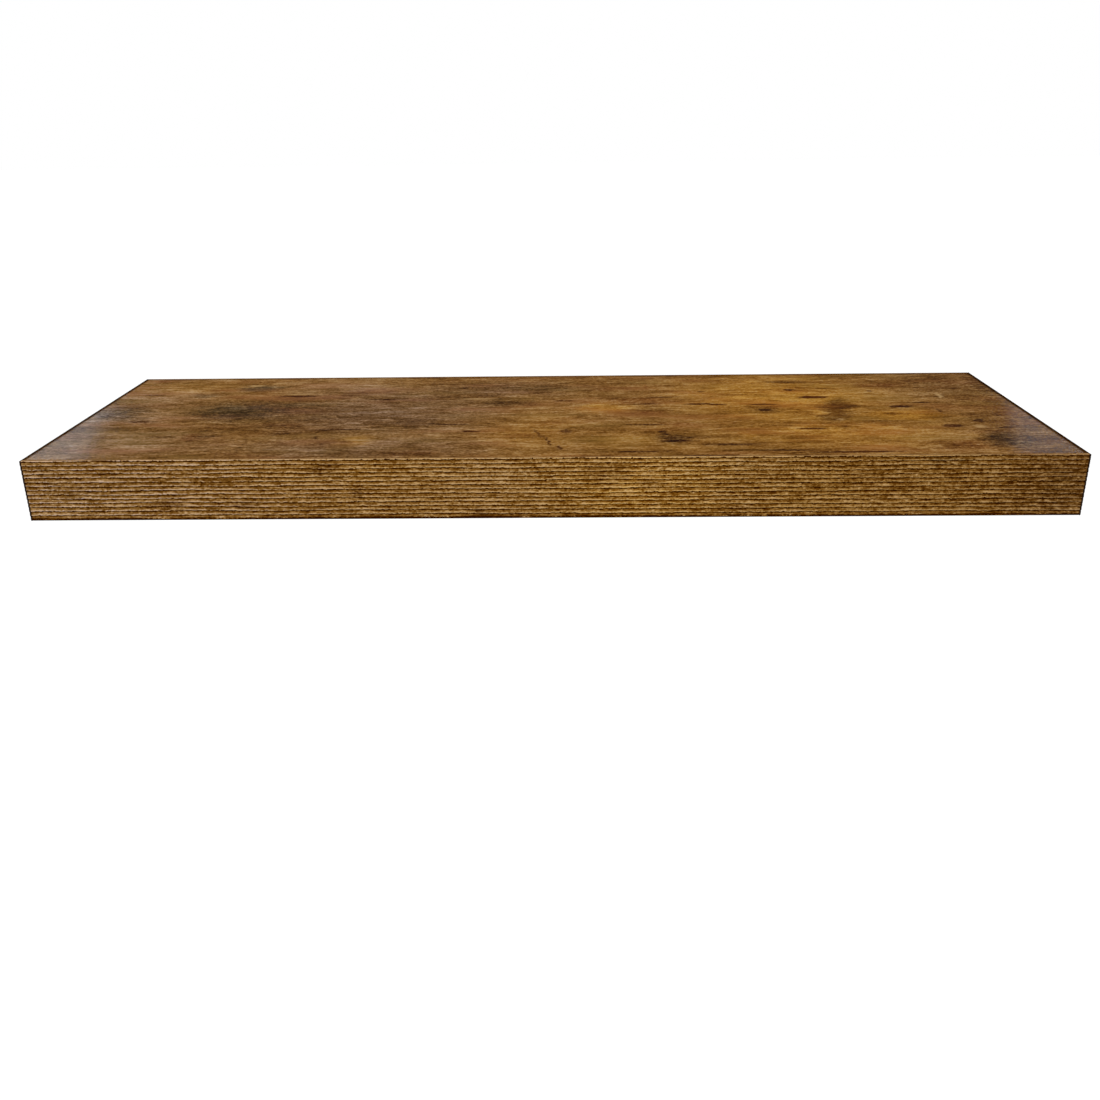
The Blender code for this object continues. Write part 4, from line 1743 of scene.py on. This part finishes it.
@dataclass
class ShelfLocks:
    """The two socket set screws and the brass inserts that they wind through."""

    finishes: Finishes
    x: float = 0.200
    y: float = -0.024
    tip: float = -0.0063
    foot: float = -0.0164
    radius: float = 0.003
    key: float = 0.003
    insert_top: float = -0.0075
    insert_foot: float = -0.0148
    barrel: float = 0.0044
    flange: float = 0.0059
    bore: float = 0.0033

    def build(self) -> None:
        """Models one set screw and one insert, and sets a copy on each side."""
        screw, insert = self.screw(), self.insert()
        for side, sign in (("left", -1), ("right", 1)):
            place = (sign * self.x, self.y, 0)
            twin = copied(screw, f"socket_set_screw_{side}", place)
            carry(twin, f"set_screw_{side}", f"set_screw_{side}")
            twin = copied(insert, f"threaded_insert_{side}", place)
            carry(twin, "shelf", f"insert_nut_{side}")
        discard(screw, insert)

    def screw(self) -> bpy.types.Object:
        """The set screw on the z axis: a cup point above and a six-sided socket below.

        Returns:
            The screw.
        """
        foot, tip, core = self.foot, self.tip, self.radius - 0.0004
        rings = [
            (foot, core - 0.0004), (foot + 0.0003, core - 0.0001), (foot + 0.0005, core),
            (tip - 0.0010, core), (tip - 0.0008, core - 0.0002), (tip, 0.0016),
            (tip, 0.0012), (tip - 0.0005, 0.0004),
        ]
        screw = turned("set_screw_blank", rings, 48)
        corner = self.key / math.sqrt(3)
        socket = [(foot - 0.001, corner), (foot + 0.004, corner), (foot + 0.0048, 0.0002)]
        mouth = [(foot - 0.0003, 0.0021), (foot + 0.0003, 0.0015)]
        cut(screw, turned("socket", socket, 6), turned("mouth", mouth, 32))
        thread = helix(
            "set_thread",
            core,
            self.radius,
            pitch=0.001,
            start=foot + 0.0007,
            turns=8,
            steps=32,
            share=0.85,
        )
        add_thread(screw, thread)
        dress(screw, (self.finishes.dark_steel, None))
        return screw

    def insert(self) -> bpy.types.Object:
        """The flanged insert on the z axis, with its bore's edges broken.

        Returns:
            The insert.
        """
        foot, top, barrel, flange = self.insert_foot, self.insert_top, self.barrel, self.flange
        rings = [
            (foot, flange - 0.0002), (foot + 0.0002, flange), (foot + 0.0010, flange),
            (foot + 0.0012, flange - 0.0002), (foot + 0.0012, barrel),
        ]
        at = foot + 0.0016
        while at < top - 0.0014:
            rings += [(at, barrel), (at + 0.0006, barrel + 0.0003), (at + 0.0010, barrel)]
            at += 0.0013
        rings += [(top - 0.0002, barrel), (top, barrel - 0.0002)]
        insert = turned("insert", rings, 48)
        bore = [(foot - 0.001, 0.0046), (foot + 0.0003, self.bore), (top + 0.001, self.bore)]
        cut(insert, turned("bore", bore, 48))
        shade(insert, 30)
        dress(insert, (self.finishes.brass, None))
        return insert


# ---------------------------------------------------------------- the studio


@dataclass(frozen=True)
class Panel:
    """A panel of light behind the shelf: its place, its turn in degrees and its strength."""

    name: str
    place: Place
    turn: float
    strength: float


@dataclass
class Studio:
    """A pale floor, soft light and the camera at the photograph's place."""

    floor_height: float = -1.2
    floor_glow: float = 0.76
    ambient: float = 0.6
    key: float = 1.9
    key_turn: Place = (math.radians(48), 0.0, math.radians(-14))
    sheen_colour: Colour = (0.5, 0.76, 1.0)
    panel_size: tuple[float, float] = (1.2, 1.4)
    panels: tuple[Panel, ...] = (
        Panel("left_panel", (-1.625, 1.666, 0.225), -30.4, 20.8),
        Panel("right_panel", (1.594, 1.693, 0.30), 21.1, 12.4),
    )
    lens: float = 35.358
    camera_place: Place = (0.0132, -0.7784, 0.1991)
    camera_turn: Place = (67.738, 0.723, 1.050)

    def build(self) -> None:
        """Sets the studio up."""
        self.floor()
        self.world()
        self.lamps()
        self.camera()
        bpy.context.scene.view_settings.view_transform = "Standard"

    @staticmethod
    def _seen(shader: Shader) -> Value:
        """Where the background is seen directly, in a gloss or through glass.

        Args:
            shader: the background's tree.

        Returns:
            1 where it is seen, and otherwise 0.
        """
        path = shader.node("ShaderNodeLightPath", output="Is Camera Ray")
        outputs = path.socket.node.outputs
        gloss = Value(shader, outputs["Is Glossy Ray"])
        glass = Value(shader, outputs["Is Transmission Ray"])
        return path.most(gloss).most(glass)

    def floor(self) -> None:
        """A wide pale floor far below, which keeps a soft shadow."""
        pick()
        bpy.ops.mesh.primitive_plane_add(size=60, location=(0, 0, self.floor_height))
        floor = adopt("studio_floor")
        shader = Shader("pale_floor")
        cloud = shader.noise(shader.place(), (0.8, 0.8, 0.8), 1, 2)
        grey = shader.mix(cloud, (0.3, 0.3, 0.3, 1), (0.31, 0.31, 0.31, 1))
        matt = shader.node("ShaderNodeBsdfDiffuse", None, {"Color": grey})
        glow = shader.light("ShaderNodeEmission", self._seen(shader) * self.floor_glow)
        shader.close(shader.node("ShaderNodeAddShader", None, {0: matt, 1: glow}))
        dress(floor, (shader.owner, None))

    def world(self) -> None:
        """White where it is seen, and a softer grey as light."""
        world = bpy.data.worlds.new("studio_world")
        bpy.context.scene.world = world
        shader = Shader(world)
        strength = self._seen(shader) * (1 - self.ambient) + self.ambient
        sky = shader.light("ShaderNodeBackground", strength)
        shader.close(sky, "ShaderNodeOutputWorld")

    def lamps(self) -> None:
        """One wide soft lamp from above the camera, and two panels that only show as sheen."""
        sun = bpy.data.lights.new("key", "SUN")
        sun.energy = self.key
        sun.angle = math.radians(40)
        key = bpy.data.objects.new("key", sun)
        key.rotation_euler = self.key_turn
        bpy.context.collection.objects.link(key)
        for panel in self.panels:
            area = bpy.data.lights.new(panel.name, "AREA")
            area.shape = "RECTANGLE"
            area.size, area.size_y = self.panel_size
            area.energy = panel.strength * area.size * area.size_y * math.pi
            area.color = self.sheen_colour
            lamp = bpy.data.objects.new(panel.name, area)
            lamp.location = panel.place
            lamp.rotation_euler = (-math.pi / 2, math.radians(panel.turn), 0)
            lamp.visible_camera = False
            lamp.visible_diffuse = False
            lamp.visible_transmission = False
            bpy.context.collection.objects.link(lamp)

    def camera(self) -> None:
        """The camera at the photograph's viewing angle."""
        data = bpy.data.cameras.new("camera")
        data.lens = self.lens
        data.sensor_width = 36
        camera = bpy.data.objects.new("camera", data)
        camera.location = self.camera_place
        camera.rotation_euler = [math.radians(angle) for angle in self.camera_turn]
        bpy.context.collection.objects.link(camera)
        bpy.context.scene.camera = camera


def main() -> None:
    """Builds the shelf and the studio, and reports each piece."""
    logging.basicConfig(level=logging.INFO, format="%(message)s")
    Studio().build()
    finishes = Finishes.build()
    for assembly in (Board, Bracket, WallFixings, ShelfLocks):
        assembly(finishes).build()
        log.info("%s is done", assembly.__name__)


if __name__ == "__main__":
    main()
